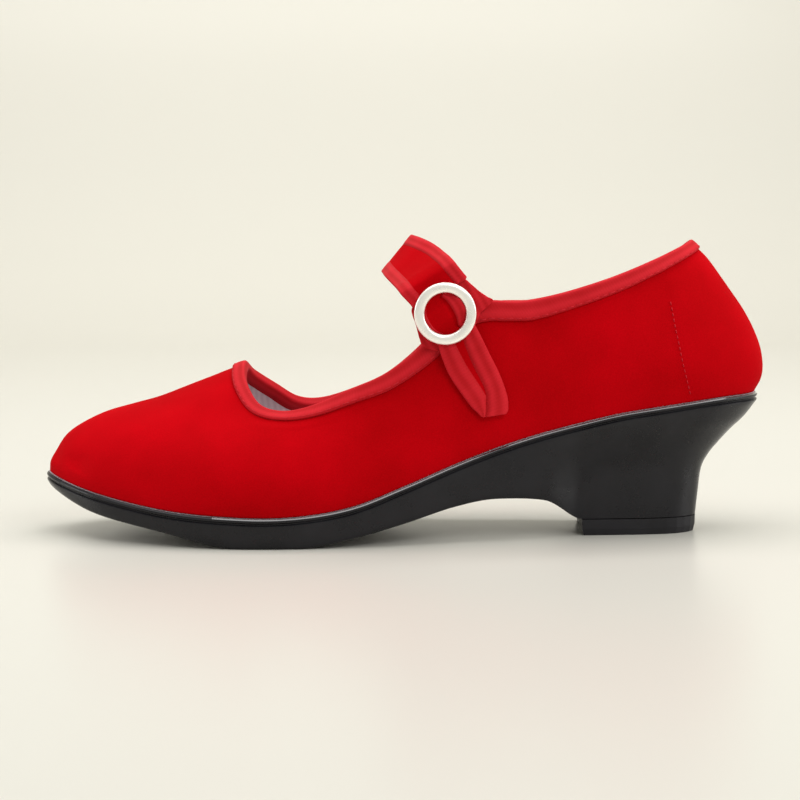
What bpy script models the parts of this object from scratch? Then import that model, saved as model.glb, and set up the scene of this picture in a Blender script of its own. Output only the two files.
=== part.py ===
"""Left bar shoe with a block heel: cloth upper, moulded sole unit, strap and ring buckle.

Metres, +Z up.  The toe points to -X, the heel to +X, the outer (buckle) side to -Y.
Every form is worked out from the named sizes below; tables hold shares of them.
"""
import math

import bmesh
import bpy
import numpy as np
from mathutils import Matrix, Vector
from mathutils.bvhtree import BVHTree

# Main sizes of the shoe
LENGTH = 0.2445
BALL_WIDTH = 0.080
HEEL_HEIGHT = 0.048
BACK_HEIGHT = 0.0986
HEEL_LIFT = 0.0055
TOE_OVERHANG = 0.1232

# Thicknesses and clearances
WALL = 0.0018
GAP = 0.0003
LIP = 0.0010
INSOLE = 0.0024
WALL_BULGE = 0.0022

# Binding tape round the top line
TAPE_WIDTH = 0.0053
TAPE = 0.0007

# Strap, ring and tab
STRAP = 0.0013
RING_DIAMETER = 0.0203
RING_BAND = 0.0033
RING_THICK = 0.0018
BAR_THICK = 0.0012
BAR_WIDTH = 0.0016
TAB = 0.0010
TAB_WIDTH = 0.0218
TAB_HEIGHT = 0.0232
TAB_EAR = 0.0036

# Columns of the mesh between two stations, and facets round the ring
STEPS = 3
RING_FACETS = 40
TAB_FACETS = 28

# Stations from the heel to the toe, a row each.
# share: along the length from the toe; outer, inner: half breadths as shares of the ball width;
# seat: height of the feather line as a share of the heel height;
# form: 0 heel, 1 side wall, 2 vamp, 3 toe.
FOOTPRINT = {
    "share": (1.0, 0.982, 0.93, 0.86, 0.79, 0.735, 0.675, 0.62,
              0.56, 0.49, 0.42, 0.345, 0.265, 0.165, 0.06, 0.0),
    "outer": (0.0, 0.175, 0.294, 0.338, 0.350, 0.358, 0.375, 0.398,
              0.425, 0.459, 0.488, 0.503, 0.490, 0.410, 0.222, -0.075),
    "inner": (0.0, 0.175, 0.294, 0.331, 0.325, 0.320, 0.319, 0.325,
              0.341, 0.378, 0.434, 0.481, 0.505, 0.475, 0.362, 0.075),
    "seat": (0.992, 0.992, 0.980, 0.935, 0.882, 0.821, 0.746, 0.663,
             0.552, 0.409, 0.280, 0.219, 0.214, 0.254, 0.353, 0.436),
    "form": (0.0, 0.25, 0.7, 1.0, 1.0, 1.0, 1.0, 1.0,
             1.0, 1.2, 1.5, 1.8, 2.0, 2.15, 2.6, 3.0),
}

# The edge of the sole's underside at the same stations.
# rise: height as a share of the heel height, None where the heel block stands on its lift;
# block: 1 where the side falls like the heel block, 0 where it falls like a sole edge.
UNDERSIDE = {
    "share": (0.912, 0.907, 0.877, 0.828, 0.777, 0.742, 0.684, 0.62,
              0.56, 0.49, 0.42, 0.345, 0.265, 0.168, 0.070, 0.022),
    "inner_share": (0.912, 0.907, 0.877, 0.832, 0.786, 0.755, 0.695, 0.62,
                    0.56, 0.49, 0.42, 0.345, 0.265, 0.168, 0.070, 0.022),
    "outer": (0.0, 0.112, 0.190, 0.216, 0.220, 0.222, 0.330, 0.366,
              0.397, 0.433, 0.465, 0.480, 0.466, 0.386, 0.202, -0.075),
    "inner": (0.0, 0.112, 0.190, 0.216, 0.220, 0.222, 0.280, 0.296,
              0.312, 0.350, 0.410, 0.458, 0.480, 0.448, 0.340, 0.075),
    "rise": (None, None, None, None, None, None, 0.283, 0.304,
             0.259, 0.153, 0.062, 0.0, 0.0, 0.098, 0.202, 0.318),
    "block": (1.0, 1.0, 1.0, 1.0, 1.0, 0.9, 0.3, 0.0,
              0.0, 0.0, 0.0, 0.0, 0.0, 0.0, 0.0, 0.0),
}

# The top line at the same stations: shares of the length, the ball width and the back height.
TOPLINE = {
    "outer_share": (0.903, 0.890, 0.843, 0.778, 0.708, 0.651, 0.598, 0.553,
                    0.515, 0.467, 0.418, 0.369, 0.329, 0.296, 0.277, 0.277),
    "outer": (0.0, 0.131, 0.250, 0.325, 0.359, 0.373, 0.380, 0.383,
              0.373, 0.358, 0.341, 0.316, 0.281, 0.216, 0.094, -0.075),
    "outer_rise": (1.0, 0.994, 0.956, 0.886, 0.832, 0.803, 0.804, 0.760,
                   0.655, 0.564, 0.509, 0.455, 0.434, 0.455, 0.527, 0.582),
    "inner_share": (0.903, 0.890, 0.843, 0.778, 0.708, 0.651, 0.602, 0.566,
                    0.533, 0.485, 0.433, 0.388, 0.353, 0.322, 0.290, 0.277),
    "inner": (0.0, 0.131, 0.250, 0.325, 0.356, 0.369, 0.378, 0.379,
              0.375, 0.370, 0.363, 0.350, 0.319, 0.275, 0.188, 0.075),
    "inner_rise": (1.0, 0.960, 0.884, 0.822, 0.785, 0.779, 0.766, 0.712,
                   0.617, 0.521, 0.464, 0.432, 0.440, 0.488, 0.545, 0.582),
}

# How the upper climbs from the feather line to the top line, a row for each form.
# inward and up are shares of the way there, out is a share of the wall bulge.
CLIMB = {
    "inward": ((0.0, -0.10, -0.13, -0.09, 0.03, 0.18, 0.36, 0.55, 0.80, 1.0),
               (0.0, 0.04, 0.10, 0.19, 0.30, 0.43, 0.57, 0.71, 0.86, 1.0),
               (0.0, 0.00, 0.03, 0.09, 0.18, 0.30, 0.45, 0.62, 0.81, 1.0),
               (0.0, 0.004, 0.03, 0.085, 0.17, 0.29, 0.44, 0.61, 0.80, 1.0)),
    "up": ((0.0, 0.08, 0.17, 0.29, 0.43, 0.55, 0.665, 0.78, 0.92, 1.0),
           (0.0, 0.10, 0.21, 0.33, 0.45, 0.57, 0.68, 0.79, 0.90, 1.0),
           (0.0, 0.12, 0.25, 0.38, 0.51, 0.63, 0.74, 0.84, 0.93, 1.0),
           (0.0, 0.09, 0.18, 0.33, 0.445, 0.55, 0.63, 0.725, 0.86, 1.0)),
    "out": ((0.0, 0.0, 0.0, 0.0, 0.0, 0.0, 0.0, 0.0, 0.0, 0.0),
            (0.0, 0.45, 0.80, 1.00, 1.00, 0.86, 0.64, 0.36, 0.14, 0.0),
            (0.0, 0.27, 0.41, 0.45, 0.41, 0.32, 0.18, 0.09, 0.0, 0.0),
            (0.0, 0.0, 0.0, 0.0, 0.0, 0.0, 0.0, 0.0, 0.0, 0.0)),
}

# Steps of the sole's edge below the feather line: in from the outline and down, in lips.
LIP_STEPS = ((0.5, 0.0), (0.0, 0.5), (0.0, 1.3), (0.6, 1.6), (0.6, 2.0), (0.15, 2.4))

# Fall of the sole's side below those steps: shares inward and down, heel block and sole edge.
BLOCK_FALL = ((0.20, 0.14), (0.42, 0.25), (0.64, 0.375), (0.80, 0.48), (0.91, 0.60),
              (0.96, 0.80), (1.0, 1.0))
EDGE_FALL = ((0.05, 0.20), (0.12, 0.40), (0.20, 0.58), (0.32, 0.74), (0.48, 0.87),
             (0.70, 0.96), (1.0, 1.0))

# Ring centre on the outer side: share of the length, share of the back height.
RING_PLACE = (0.5445, 0.775)
TAB_PLACE = (0.5445, 0.762)
STRAP_LEAN = math.radians(60.0)
TAB_EAR_TURN = math.radians(24.0)
TAB_EAR_SPREAD = math.radians(19.0)

# Strap from its sewn end on the inner side over the instep to the ring, a row each.
# front and rear edge: share of the length, share of the back height; side: share of ball width.
STRAP_ROWS = (
    (0.542, 0.555, 0.598, 0.610, 0.400),
    (0.537, 0.620, 0.601, 0.690, 0.410),
    (0.533, 0.690, 0.603, 0.780, 0.415),
    (0.527, 0.760, 0.598, 0.875, 0.410),
    (0.509, 0.815, 0.576, 0.935, 0.370),
    (0.494, 0.853, 0.554, 0.983, 0.285),
    (0.479, 0.884, 0.531, 1.011, 0.165),
    (0.4705, 0.900, 0.512, 1.026, 0.020),
    (0.4720, 0.888, 0.523, 1.014, -0.125),
    (0.4767, 0.873, 0.539, 0.991, -0.236),
    (0.4803, 0.862, 0.547, 0.972, -0.322),
    (0.4828, 0.853, 0.552, 0.959, -0.390),
)

# Strap through the ring and down to its tip, a row each, in the ring's own directions.
# along and aside in ring radii, width in ring radii, lift: 0 under the ring, 1 over the bar.
THREAD_ROWS = (
    (-1.20, 0.09, 2.06, 0.0),
    (-1.00, 0.13, 2.05, 0.0),
    (-0.80, 0.18, 2.06, 0.0),
    (-0.62, 0.23, 2.04, 0.0),
    (-0.47, 0.0, 0.76, 0.0),
    (-0.30, 0.0, 1.04, 0.57),
    (-0.13, 0.0, 1.17, 1.0),
    (0.13, 0.0, 1.17, 1.0),
    (0.30, 0.0, 1.04, 0.57),
    (0.47, 0.0, 0.76, 0.0),
    (0.62, 0.0, 1.16, 0.0),
    (0.80, 0.0, 1.32, 0.0),
    (1.00, -0.02, 1.38, 0.0),
)
TAIL_ROWS = (
    (1.33, -0.06, 1.38),
    (1.68, -0.10, 1.34),
    (2.05, -0.13, 1.27),
    (2.42, -0.15, 1.18),
    (2.80, -0.15, 1.08),
    (3.12, -0.14, 0.98),
    (3.36, -0.12, 0.86),
    (3.52, -0.11, 0.68),
    (3.61, -0.11, 0.36),
)

STATIONS = len(FOOTPRINT["share"])
COLUMNS = 2 * (STATIONS - 1) * STEPS
TOE = (STATIONS - 1) * STEPS


# Tables to curves

def around(outer, inner):
    """Join the rows of the outer side and the inner side to one closed loop."""
    return np.array(list(outer) + list(inner)[-2:0:-1], dtype=float)


def smooth(loop, steady=False):
    """Curve through a closed loop of values; a steady one never overshoots them."""
    count = len(loop)
    after = np.roll(loop, -1) - loop
    before = np.roll(after, 1)
    slope = (after + before) / 2.0
    if steady:
        turning = before * after <= 0.0
        limit = 3.0 * np.minimum(np.abs(before), np.abs(after))
        slope = np.where(turning, 0.0, np.clip(slope, -limit, limit))
    values = []
    for index in range(count):
        following = (index + 1) % count
        for step in range(STEPS):
            part = step / STEPS
            hermite = (
                (1.0 + 2.0 * part) * (1.0 - part) ** 2,
                part * (1.0 - part) ** 2,
                part ** 2 * (3.0 - 2.0 * part),
                part ** 2 * (part - 1.0),
            )
            values.append(hermite[0] * loop[index] + hermite[1] * slope[index]
                          + hermite[2] * loop[following] + hermite[3] * slope[following])
    return np.array(values)


def eased(rows):
    """Rows of an open table with a smooth row put between each two."""
    table = np.array(rows)
    middle = (table[:-1] + table[1:]) / 2.0
    bend = np.zeros_like(middle)
    bend[1:-1] = (middle[1:-1] * 2.0 - table[:-3] - table[3:]) / 16.0
    made = np.empty((len(table) + len(middle), table.shape[1]))
    made[0::2] = table
    made[1::2] = middle + bend
    return made


def along(share):
    """Distance along the shoe for a share of its length from the toe."""
    return np.asarray(share) * LENGTH - TOE_OVERHANG


def plan_loop(table, outer_share="share", inner_share="share"):
    """Plan positions of a table's loop, one for each column of the mesh."""
    across = around([-value for value in table["outer"]], table["inner"])
    lengthwise = around(table[outer_share], table[inner_share])
    return np.stack([along(smooth(lengthwise)), smooth(across) * BALL_WIDTH], axis=1)


def outward(plan):
    """Unit directions pointing out of a closed plan loop."""
    run = np.roll(plan, -1, axis=0) - np.roll(plan, 1, axis=0)
    run /= np.linalg.norm(run, axis=1, keepdims=True)
    return np.stack([-run[:, 1], run[:, 0]], axis=1)


def at_height(plan, height):
    """Points of a plan loop at a height, or at a list of heights."""
    return np.column_stack([plan, np.broadcast_to(height, len(plan))])


# Meshes

def material(name, colour, roughness, metallic=0.0):
    """A plain material for one piece."""
    made = bpy.data.materials.new(name)
    made.use_nodes = True
    shader = made.node_tree.nodes["Principled BSDF"]
    shader.inputs["Base Color"].default_value = (*colour, 1.0)
    shader.inputs["Roughness"].default_value = roughness
    shader.inputs["Metallic"].default_value = metallic
    return made


def finished(name, mesh, finish, collection):
    """Weld, turn outwards and triangulate a closed mesh and link it as an object."""
    work = bmesh.new()
    work.from_mesh(mesh)
    bmesh.ops.remove_doubles(work, verts=work.verts, dist=0.000001)
    bmesh.ops.recalc_face_normals(work, faces=work.faces)
    bmesh.ops.triangulate(work, faces=work.faces)
    work.to_mesh(mesh)
    work.free()
    mesh.materials.clear()
    mesh.materials.append(finish)
    made = bpy.data.objects.new(name, mesh)
    collection.objects.link(made)
    return made


def solid(name, points, faces, finish, collection):
    """Make one closed object from its points and faces."""
    mesh = bpy.data.meshes.new(name)
    mesh.from_pydata([tuple(point) for point in points], [], faces)
    return finished(name, mesh, finish, collection)


def bands(rings, closed):
    """Faces between rings of equal count; closed joins the last ring to the first."""
    count = len(rings[0])
    last = len(rings) if closed else len(rings) - 1
    faces = []
    for level in range(last):
        low = level * count
        high = (level + 1) % len(rings) * count
        for column in range(count):
            following = (column + 1) % count
            faces.append((low + column, low + following, high + following, high + column))
    return faces


def ladder(start, count):
    """Faces that close a mirrored loop by rungs from one side to the other."""
    half = count // 2
    faces = [(start, start + 1, start + count - 1)]
    for column in range(1, half - 1):
        faces.append((start + column, start + column + 1,
                      start + count - column - 1, start + count - column))
    faces.append((start + half - 1, start + half, start + half + 1))
    return faces


def stack(rings):
    """Points and faces of rings closed by rungs at the first and the last."""
    count = len(rings[0])
    faces = bands(rings, False) + ladder(0, count) + ladder((len(rings) - 1) * count, count)
    return np.concatenate(rings), faces


# Sole unit, heel lift and insole

def feather_plan():
    """Outline of the sole's top edge and its outward directions."""
    plan = plan_loop(FOOTPRINT)
    return plan, outward(plan)


def feather_height():
    """Height of the feather line at each column."""
    return smooth(around(FOOTPRINT["seat"], FOOTPRINT["seat"])) * HEEL_HEIGHT


def underside():
    """Points of the sole's lower edge at each column."""
    block_foot = (HEEL_LIFT + GAP) / HEEL_HEIGHT
    rise = [block_foot if value is None else value for value in UNDERSIDE["rise"]]
    height = smooth(around(rise, rise), steady=True) * HEEL_HEIGHT
    across = around([-value for value in UNDERSIDE["outer"]], UNDERSIDE["inner"])
    lengthwise = around(UNDERSIDE["share"], UNDERSIDE["inner_share"])
    plan = np.stack([along(smooth(lengthwise, steady=True)),
                     smooth(across, steady=True) * BALL_WIDTH], axis=1)
    return at_height(plan, height)


def sole_rings():
    """Rings of the sole unit from its lip down to its lower edge."""
    plan, out = feather_plan()
    height = feather_height()
    rings = [at_height(plan - out * inset * LIP, height - drop * LIP)
             for inset, drop in LIP_STEPS]
    foot = underside()
    block = smooth(around(UNDERSIDE["block"], UNDERSIDE["block"]), steady=True)[:, None]
    start = rings[-1]
    for block_step, edge_step in zip(BLOCK_FALL, EDGE_FALL):
        mixed = np.array(block_step) * block + np.array(edge_step) * (1.0 - block)
        ring = start.copy()
        ring[:, :2] += (foot[:, :2] - start[:, :2]) * mixed[:, :1]
        ring[:, 2] += (foot[:, 2] - start[:, 2]) * mixed[:, 1]
        rings.append(ring)
    return rings


def lift_rings():
    """Rings of the heel's top lift: the block's foot, closed by a straight front."""
    heel_columns = 5 * STEPS
    foot = underside()
    order = list(range(heel_columns + 1)) + list(range(COLUMNS - heel_columns, COLUMNS))
    plan = foot[order, :2]
    middle = plan.mean(axis=0)
    rings = []
    for height, flare in ((HEEL_LIFT, 1.0), (HEEL_LIFT * 0.4, 0.995), (0.0, 0.965)):
        rings.append(at_height(middle + (plan - middle) * flare, height))
    return rings


def lift_faces(rings):
    """Faces of the lift: bands round it, rungs across its top and its foot."""
    count = len(rings[0])
    half = (count - 1) // 2
    faces = bands(rings, False)
    for start in (0, (len(rings) - 1) * count):
        faces.append((start, start + 1, start + count - 1))
        for column in range(1, half):
            faces.append((start + column, start + column + 1,
                          start + count - column - 1, start + count - column))
    return faces


def insole_rings():
    """Rings of the insole, inside the upper's foot and on the sole."""
    plan, out = feather_plan()
    top = sole_rings()[0][:TOE + 1]
    rings = []
    for inset, lift in ((3.0, 0.0), (3.0, 0.7), (5.0, 1.0)):
        edge = plan - out * (LIP + WALL + inset * GAP)
        seat = np.interp(-edge[:, 0], -top[:, 0], top[:, 2])
        rings.append(at_height(edge, seat + 1.3 * GAP + INSOLE * lift))
    return rings


# Upper and its binding

def climb_row(kind, level, form):
    """Value of a climb table at one level for each column's form."""
    values = [row[level] for row in CLIMB[kind]]
    return np.interp(form, range(len(values)), values)


def topline_points():
    """Points of the top line at each column."""
    plan = plan_loop(TOPLINE, "outer_share", "inner_share")
    rise = smooth(around(TOPLINE["outer_rise"], TOPLINE["inner_rise"]))
    return at_height(plan, rise * BACK_HEIGHT)


def upper_outside():
    """Rows of the upper's outer face from the feather line to the top line."""
    plan, out = feather_plan()
    foot = at_height(plan - out * LIP, feather_height() + GAP)
    top = topline_points()
    form = smooth(around(FOOTPRINT["form"], FOOTPRINT["form"]), steady=True)
    rows = []
    for level in range(len(CLIMB["up"][0])):
        inward = climb_row("inward", level, form)[:, None]
        up = climb_row("up", level, form)
        bulge = climb_row("out", level, form)[:, None] * WALL_BULGE
        row = foot.copy()
        row[:, :2] += (top[:, :2] - foot[:, :2]) * inward + out * bulge
        row[:, 2] += (top[:, 2] - foot[:, 2]) * up
        rows.append(row)
    # The topmost strip is straight and as deep as the tape, so that the tape lies flat on it.
    fall = rows[-2] - rows[-1]
    fall /= np.linalg.norm(fall, axis=1, keepdims=True)
    rows[-2] = rows[-1] + fall * (TAPE_WIDTH * 1.25)
    below = np.linalg.norm(rows[-3] - rows[-1], axis=1, keepdims=True)
    crowded = np.clip(2.2 - below / TAPE_WIDTH, 0.0, 1.0)
    rows[-3] = rows[-3] + ((rows[-4] + rows[-2]) / 2.0 - rows[-3]) * crowded
    return rows


def unit(vectors):
    """Vectors of length one."""
    return vectors / np.linalg.norm(vectors, axis=-1, keepdims=True)


def face_directions(rows):
    """Directions out of the upper's outer face at every point of its rows."""
    grid = np.stack(rows)
    sideways = np.roll(grid, -1, axis=1) - np.roll(grid, 1, axis=1)
    upward = np.empty_like(grid)
    upward[1:-1] = grid[2:] - grid[:-2]
    upward[0] = grid[1] - grid[0]
    upward[-1] = grid[-1] - grid[-2]
    upward[-2] = upward[-1]
    out = unit(np.cross(sideways, upward))
    out[-2] = out[-1]
    level_out = out[0].copy()
    level_out[:, 2] = 0.0
    out[0] = unit(level_out)
    centre = grid.mean(axis=(0, 1))
    facing = np.sum(out[1] * (grid[1] - centre), axis=1).mean()
    return out if facing > 0.0 else -out


def upper_rings():
    """Rings of the upper's wall: its outer rows upward, then its inner rows downward."""
    rows = upper_outside()
    out = face_directions(rows)
    inside = [row - out[level] * WALL for level, row in enumerate(rows)]
    return rows + inside[::-1]


def tape_rings():
    """Rings of the binding: a channel of tape folded over the top line."""
    rows = upper_outside()
    out = face_directions(rows)[-1]
    top = rows[-1]
    down = unit(rows[-2] - rows[-1])
    run = unit(np.roll(top, -1, axis=0) - np.roll(top, 1, axis=0))
    slant = np.linalg.norm(np.cross(run, down), axis=1, keepdims=True)
    reach = down * TAPE_WIDTH / np.clip(slant, 0.85, 1.0)
    near = GAP + TAPE
    far = WALL + GAP + TAPE
    section = (
        (near, 1.0, 0.0), (near, 0.5, 0.0), (near, 0.0, 0.0), (near * 0.55, 0.0, near * 0.85),
        (near * 0.55 - far, 0.0, near * 0.85), (-far, 0.0, 0.0), (-far, 0.5, 0.0),
        (-far, 1.0, 0.0), (GAP * 1.0 - far + TAPE - GAP, 1.0, 0.0), (-WALL - GAP, 0.0, GAP),
        (GAP, 0.0, GAP), (GAP, 1.0, 0.0),
    )
    return [top + out * aside + reach * deep - down * over for aside, deep, over in section]


# Ring buckle, tab and strap

RING_RADIUS = RING_DIAMETER / 2.0


def place(pair):
    """Side-view position of a pair of shares."""
    return np.array([float(along(pair[0])), pair[1] * BACK_HEIGHT])


class Skin:
    """Outer faces that soft pieces lie on, looked up from the side."""

    def __init__(self, objects):
        points = []
        faces = []
        for item in objects:
            start = len(points)
            points += [vertex.co.copy() for vertex in item.data.vertices]
            faces += [[start + index for index in polygon.vertices]
                      for polygon in item.data.polygons]
        self.tree = BVHTree.FromPolygons(points, faces)

    def reach(self, x, z, side):
        """Furthest reach to a side near one side-view position, 0 where nothing is there."""
        spread = TAPE_WIDTH * 0.55
        found = 0.0
        for step_x in (-1.0, 0.0, 1.0):
            for step_z in (-1.0, 0.0, 1.0):
                start = Vector((x + step_x * spread, side * BALL_WIDTH, z + step_z * spread))
                hit = self.tree.ray_cast(start, Vector((0.0, -side, 0.0)))[0]
                if hit is not None and hit.y * side > 0.0:
                    found = max(found, hit.y * side)
        return found


def buckle_base(skin):
    """Side reach of the cloth behind the tab."""
    centre = place(TAB_PLACE)
    found = 0.0
    for aside in (-0.9, -0.45, 0.0, 0.45, 0.9):
        for over in (-0.9, -0.45, 0.0, 0.45, 0.9):
            found = max(found, skin.reach(centre[0] + aside * TAB_WIDTH / 2.0,
                                          centre[1] + over * TAB_HEIGHT / 2.0, -1.0))
    return found + GAP


def plate(name, outline, depth, soft, finish, collection):
    """A flat piece lying on the plane y = 0: its side-view outline made thick towards -Y."""
    curve = bpy.data.curves.new(name, "CURVE")
    curve.dimensions = "2D"
    curve.fill_mode = "BOTH"
    curve.extrude = depth / 2.0 - soft
    curve.bevel_depth = soft
    curve.bevel_resolution = 0
    curve.offset = -soft
    spline = curve.splines.new("POLY")
    spline.points.add(len(outline) - 1)
    for point, spot in zip(spline.points, outline):
        point.co = (spot[0], spot[1], 0.0, 1.0)
    spline.use_cyclic_u = True
    blank = bpy.data.objects.new(name + "Curve", curve)
    collection.objects.link(blank)
    graph = bpy.context.evaluated_depsgraph_get()
    mesh = bpy.data.meshes.new_from_object(blank.evaluated_get(graph))
    bpy.data.objects.remove(blank, do_unlink=True)
    upright = Matrix.Rotation(math.pi / 2.0, 4, "X")
    mesh.transform(Matrix.Translation((0.0, -depth / 2.0, 0.0)) @ upright)
    return finished(name, mesh, finish, collection)


def tab_outline():
    """Side-view outline of the tab behind the buckle, a rounded square with one ear."""
    centre = place(TAB_PLACE)
    outline = []
    for step in range(TAB_FACETS):
        turn = math.tau * step / TAB_FACETS
        beside_ear = (turn - TAB_EAR_TURN + math.pi) % math.tau - math.pi
        ear = TAB_EAR * math.exp(-(beside_ear / TAB_EAR_SPREAD) ** 2)
        across = math.copysign(abs(math.cos(turn)) ** 0.85, math.cos(turn))
        over = math.copysign(abs(math.sin(turn)) ** 0.85, math.sin(turn))
        outline.append((centre[0] + across * (TAB_WIDTH / 2.0 + ear),
                        centre[1] + over * (TAB_HEIGHT / 2.0 + ear)))
    return outline


def ring_axes():
    """Centre of the ring in side view, the strap's run through it and its bar's run."""
    run = np.array([math.cos(STRAP_LEAN), -math.sin(STRAP_LEAN)])
    bar = np.array([math.sin(STRAP_LEAN), math.cos(STRAP_LEAN)])
    return place(RING_PLACE), run, bar


def levels(base):
    """Side reach of the bar's back, the strap's middle low and high, and the ring's back."""
    bar_back = base + TAB + GAP
    strap_low = bar_back + STRAP / 2.0
    strap_high = bar_back + BAR_THICK + GAP + STRAP / 2.0
    ring_back = bar_back + STRAP + GAP
    return bar_back, strap_low, strap_high, ring_back


def ring_solid(base, finish, collection):
    """The ring: its section turned round the strap's passage."""
    centre, run, bar = ring_axes()
    back = levels(base)[3]
    inner = RING_RADIUS - RING_BAND
    section = ((inner, 0.2), (inner, 0.62), (inner + 0.22 * RING_BAND, 0.93),
               (inner + 0.5 * RING_BAND, 1.0), (inner + 0.78 * RING_BAND, 0.93),
               (RING_RADIUS, 0.62), (RING_RADIUS, 0.2), (inner + 0.92 * RING_BAND, 0.0),
               (inner + 0.08 * RING_BAND, 0.0))
    profile = bpy.data.meshes.new("RingProfile")
    points = [(radius, 0.0, depth * RING_THICK) for radius, depth in section]
    sides = [(step, (step + 1) % len(section)) for step in range(len(section))]
    profile.from_pydata(points, sides, [])
    blank = bpy.data.objects.new("RingProfile", profile)
    collection.objects.link(blank)
    turned = blank.modifiers.new("Turn", "SCREW")
    turned.axis = "Z"
    turned.steps = RING_FACETS
    turned.render_steps = RING_FACETS
    turned.use_merge_vertices = True
    turned.merge_threshold = 0.00001
    graph = bpy.context.evaluated_depsgraph_get()
    mesh = bpy.data.meshes.new_from_object(blank.evaluated_get(graph))
    bpy.data.objects.remove(blank, do_unlink=True)
    start = Matrix.Rotation(math.pi / RING_FACETS - STRAP_LEAN, 4, "Z")
    upright = Matrix.Rotation(math.pi / 2.0, 4, "X")
    mesh.transform(Matrix.Translation((centre[0], -back, centre[1])) @ upright @ start)
    return finished("ring_buckle", mesh, finish, collection)


def bar_outline(base):
    """Outline of the bar with its posts, along the bar and outwards: a bridge under the strap."""
    bar_back, _, _, ring_back = levels(base)
    post_in = RING_RADIUS - RING_BAND * 0.8
    post_out = RING_RADIUS - RING_BAND * 0.2
    bar_front = bar_back + BAR_THICK
    post_top = ring_back + RING_THICK * 0.6
    return ((-post_out, post_top), (-post_out, bar_back), (post_out, bar_back),
            (post_out, post_top), (post_in, post_top), (post_in, bar_front),
            (-post_in, bar_front), (-post_in, post_top))


def bar_solid(base, finish, collection):
    """The bar, stood across the ring."""
    centre, run, bar = ring_axes()
    made = plate("BarBlank", bar_outline(base), BAR_WIDTH, 0.0, finish, collection)
    along_bar = Vector((bar[0], 0.0, bar[1]))
    outwards = Vector((0.0, -1.0, 0.0))
    across = along_bar.cross(outwards)
    turn = Matrix((along_bar, -across, outwards)).transposed().to_4x4()
    middle = Matrix.Translation((0.0, BAR_WIDTH / 2.0, 0.0))
    made.data.transform(Matrix.Translation((centre[0], 0.0, centre[1])) @ turn @ middle)
    return made


def united(base_object, tool):
    """Join a second solid into the first one and drop it."""
    join = base_object.modifiers.new("Join", "BOOLEAN")
    join.operation = "UNION"
    join.solver = "EXACT"
    join.object = tool
    graph = bpy.context.evaluated_depsgraph_get()
    mesh = bpy.data.meshes.new_from_object(base_object.evaluated_get(graph))
    base_object.modifiers.clear()
    base_object.data = mesh
    bpy.data.objects.remove(tool, do_unlink=True)


def strap_spine(base, skin):
    """Front and rear edge of the strap's middle face, from its sewn end to its tip."""
    centre, run, bar = ring_axes()
    _, low, high, _ = levels(base)
    cover = STRAP / 2.0 + 2.0 * GAP
    edges = []
    for front_share, front_rise, rear_share, rear_rise, side_share in eased(STRAP_ROWS):
        front = place((front_share, front_rise))
        rear = place((rear_share, rear_rise))
        side = math.copysign(1.0, side_share)
        reach = abs(side_share) * BALL_WIDTH
        pair = []
        for spot in (front, rear):
            under = skin.reach(spot[0], spot[1], side)
            pair.append((spot[0], side * max(reach, under + cover if under else 0.0), spot[1]))
        edges.append(pair)
    for ahead, aside, width, lift in THREAD_ROWS:
        middle = centre + (run * ahead + bar * aside) * RING_RADIUS
        half = bar * width * RING_RADIUS / 2.0
        depth = low + (high - low) * lift
        edges.append([(spot[0], -depth, spot[1]) for spot in (middle - half, middle + half)])
    for ahead, aside, width in TAIL_ROWS:
        middle = centre + (run * ahead + bar * aside) * RING_RADIUS
        half = bar * width * RING_RADIUS / 2.0
        pair = []
        for spot in (middle - half, middle + half):
            pair.append((spot[0], -(skin.reach(spot[0], spot[1], -1.0) + cover), spot[1]))
        edges.append(pair)
    return np.array(edges)


def strap_rings(base, skin):
    """Sections of the strap: four corners and a raised middle at each row."""
    edges = strap_spine(base, skin)
    middle = edges.mean(axis=1)
    run = np.empty_like(middle)
    run[1:-1] = middle[2:] - middle[:-2]
    run[0] = middle[1] - middle[0]
    run[-1] = middle[-1] - middle[-2]
    across = edges[:, 1] - edges[:, 0]
    out = unit(np.cross(across, run))
    if out[len(out) // 4][2] < 0.0:
        out = -out
    half = out * STRAP / 2.0
    soft = 0.35 * STRAP * unit(across)
    return [np.array([front + thick, middle_point + thick, rear + thick, rear + side,
                      rear - thick, middle_point - thick, front - thick, front - side])
            for front, middle_point, rear, thick, side
            in zip(edges[:, 0], middle, edges[:, 1], half, soft)]


def capped(rings):
    """Points and faces of sections in a row, the first and the last closed."""
    count = len(rings[0])
    faces = bands(rings, False)
    faces.append(tuple(range(count)))
    last = (len(rings) - 1) * count
    faces.append(tuple(range(last, last + count)))
    return np.concatenate(rings), faces


# Assembly

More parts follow.
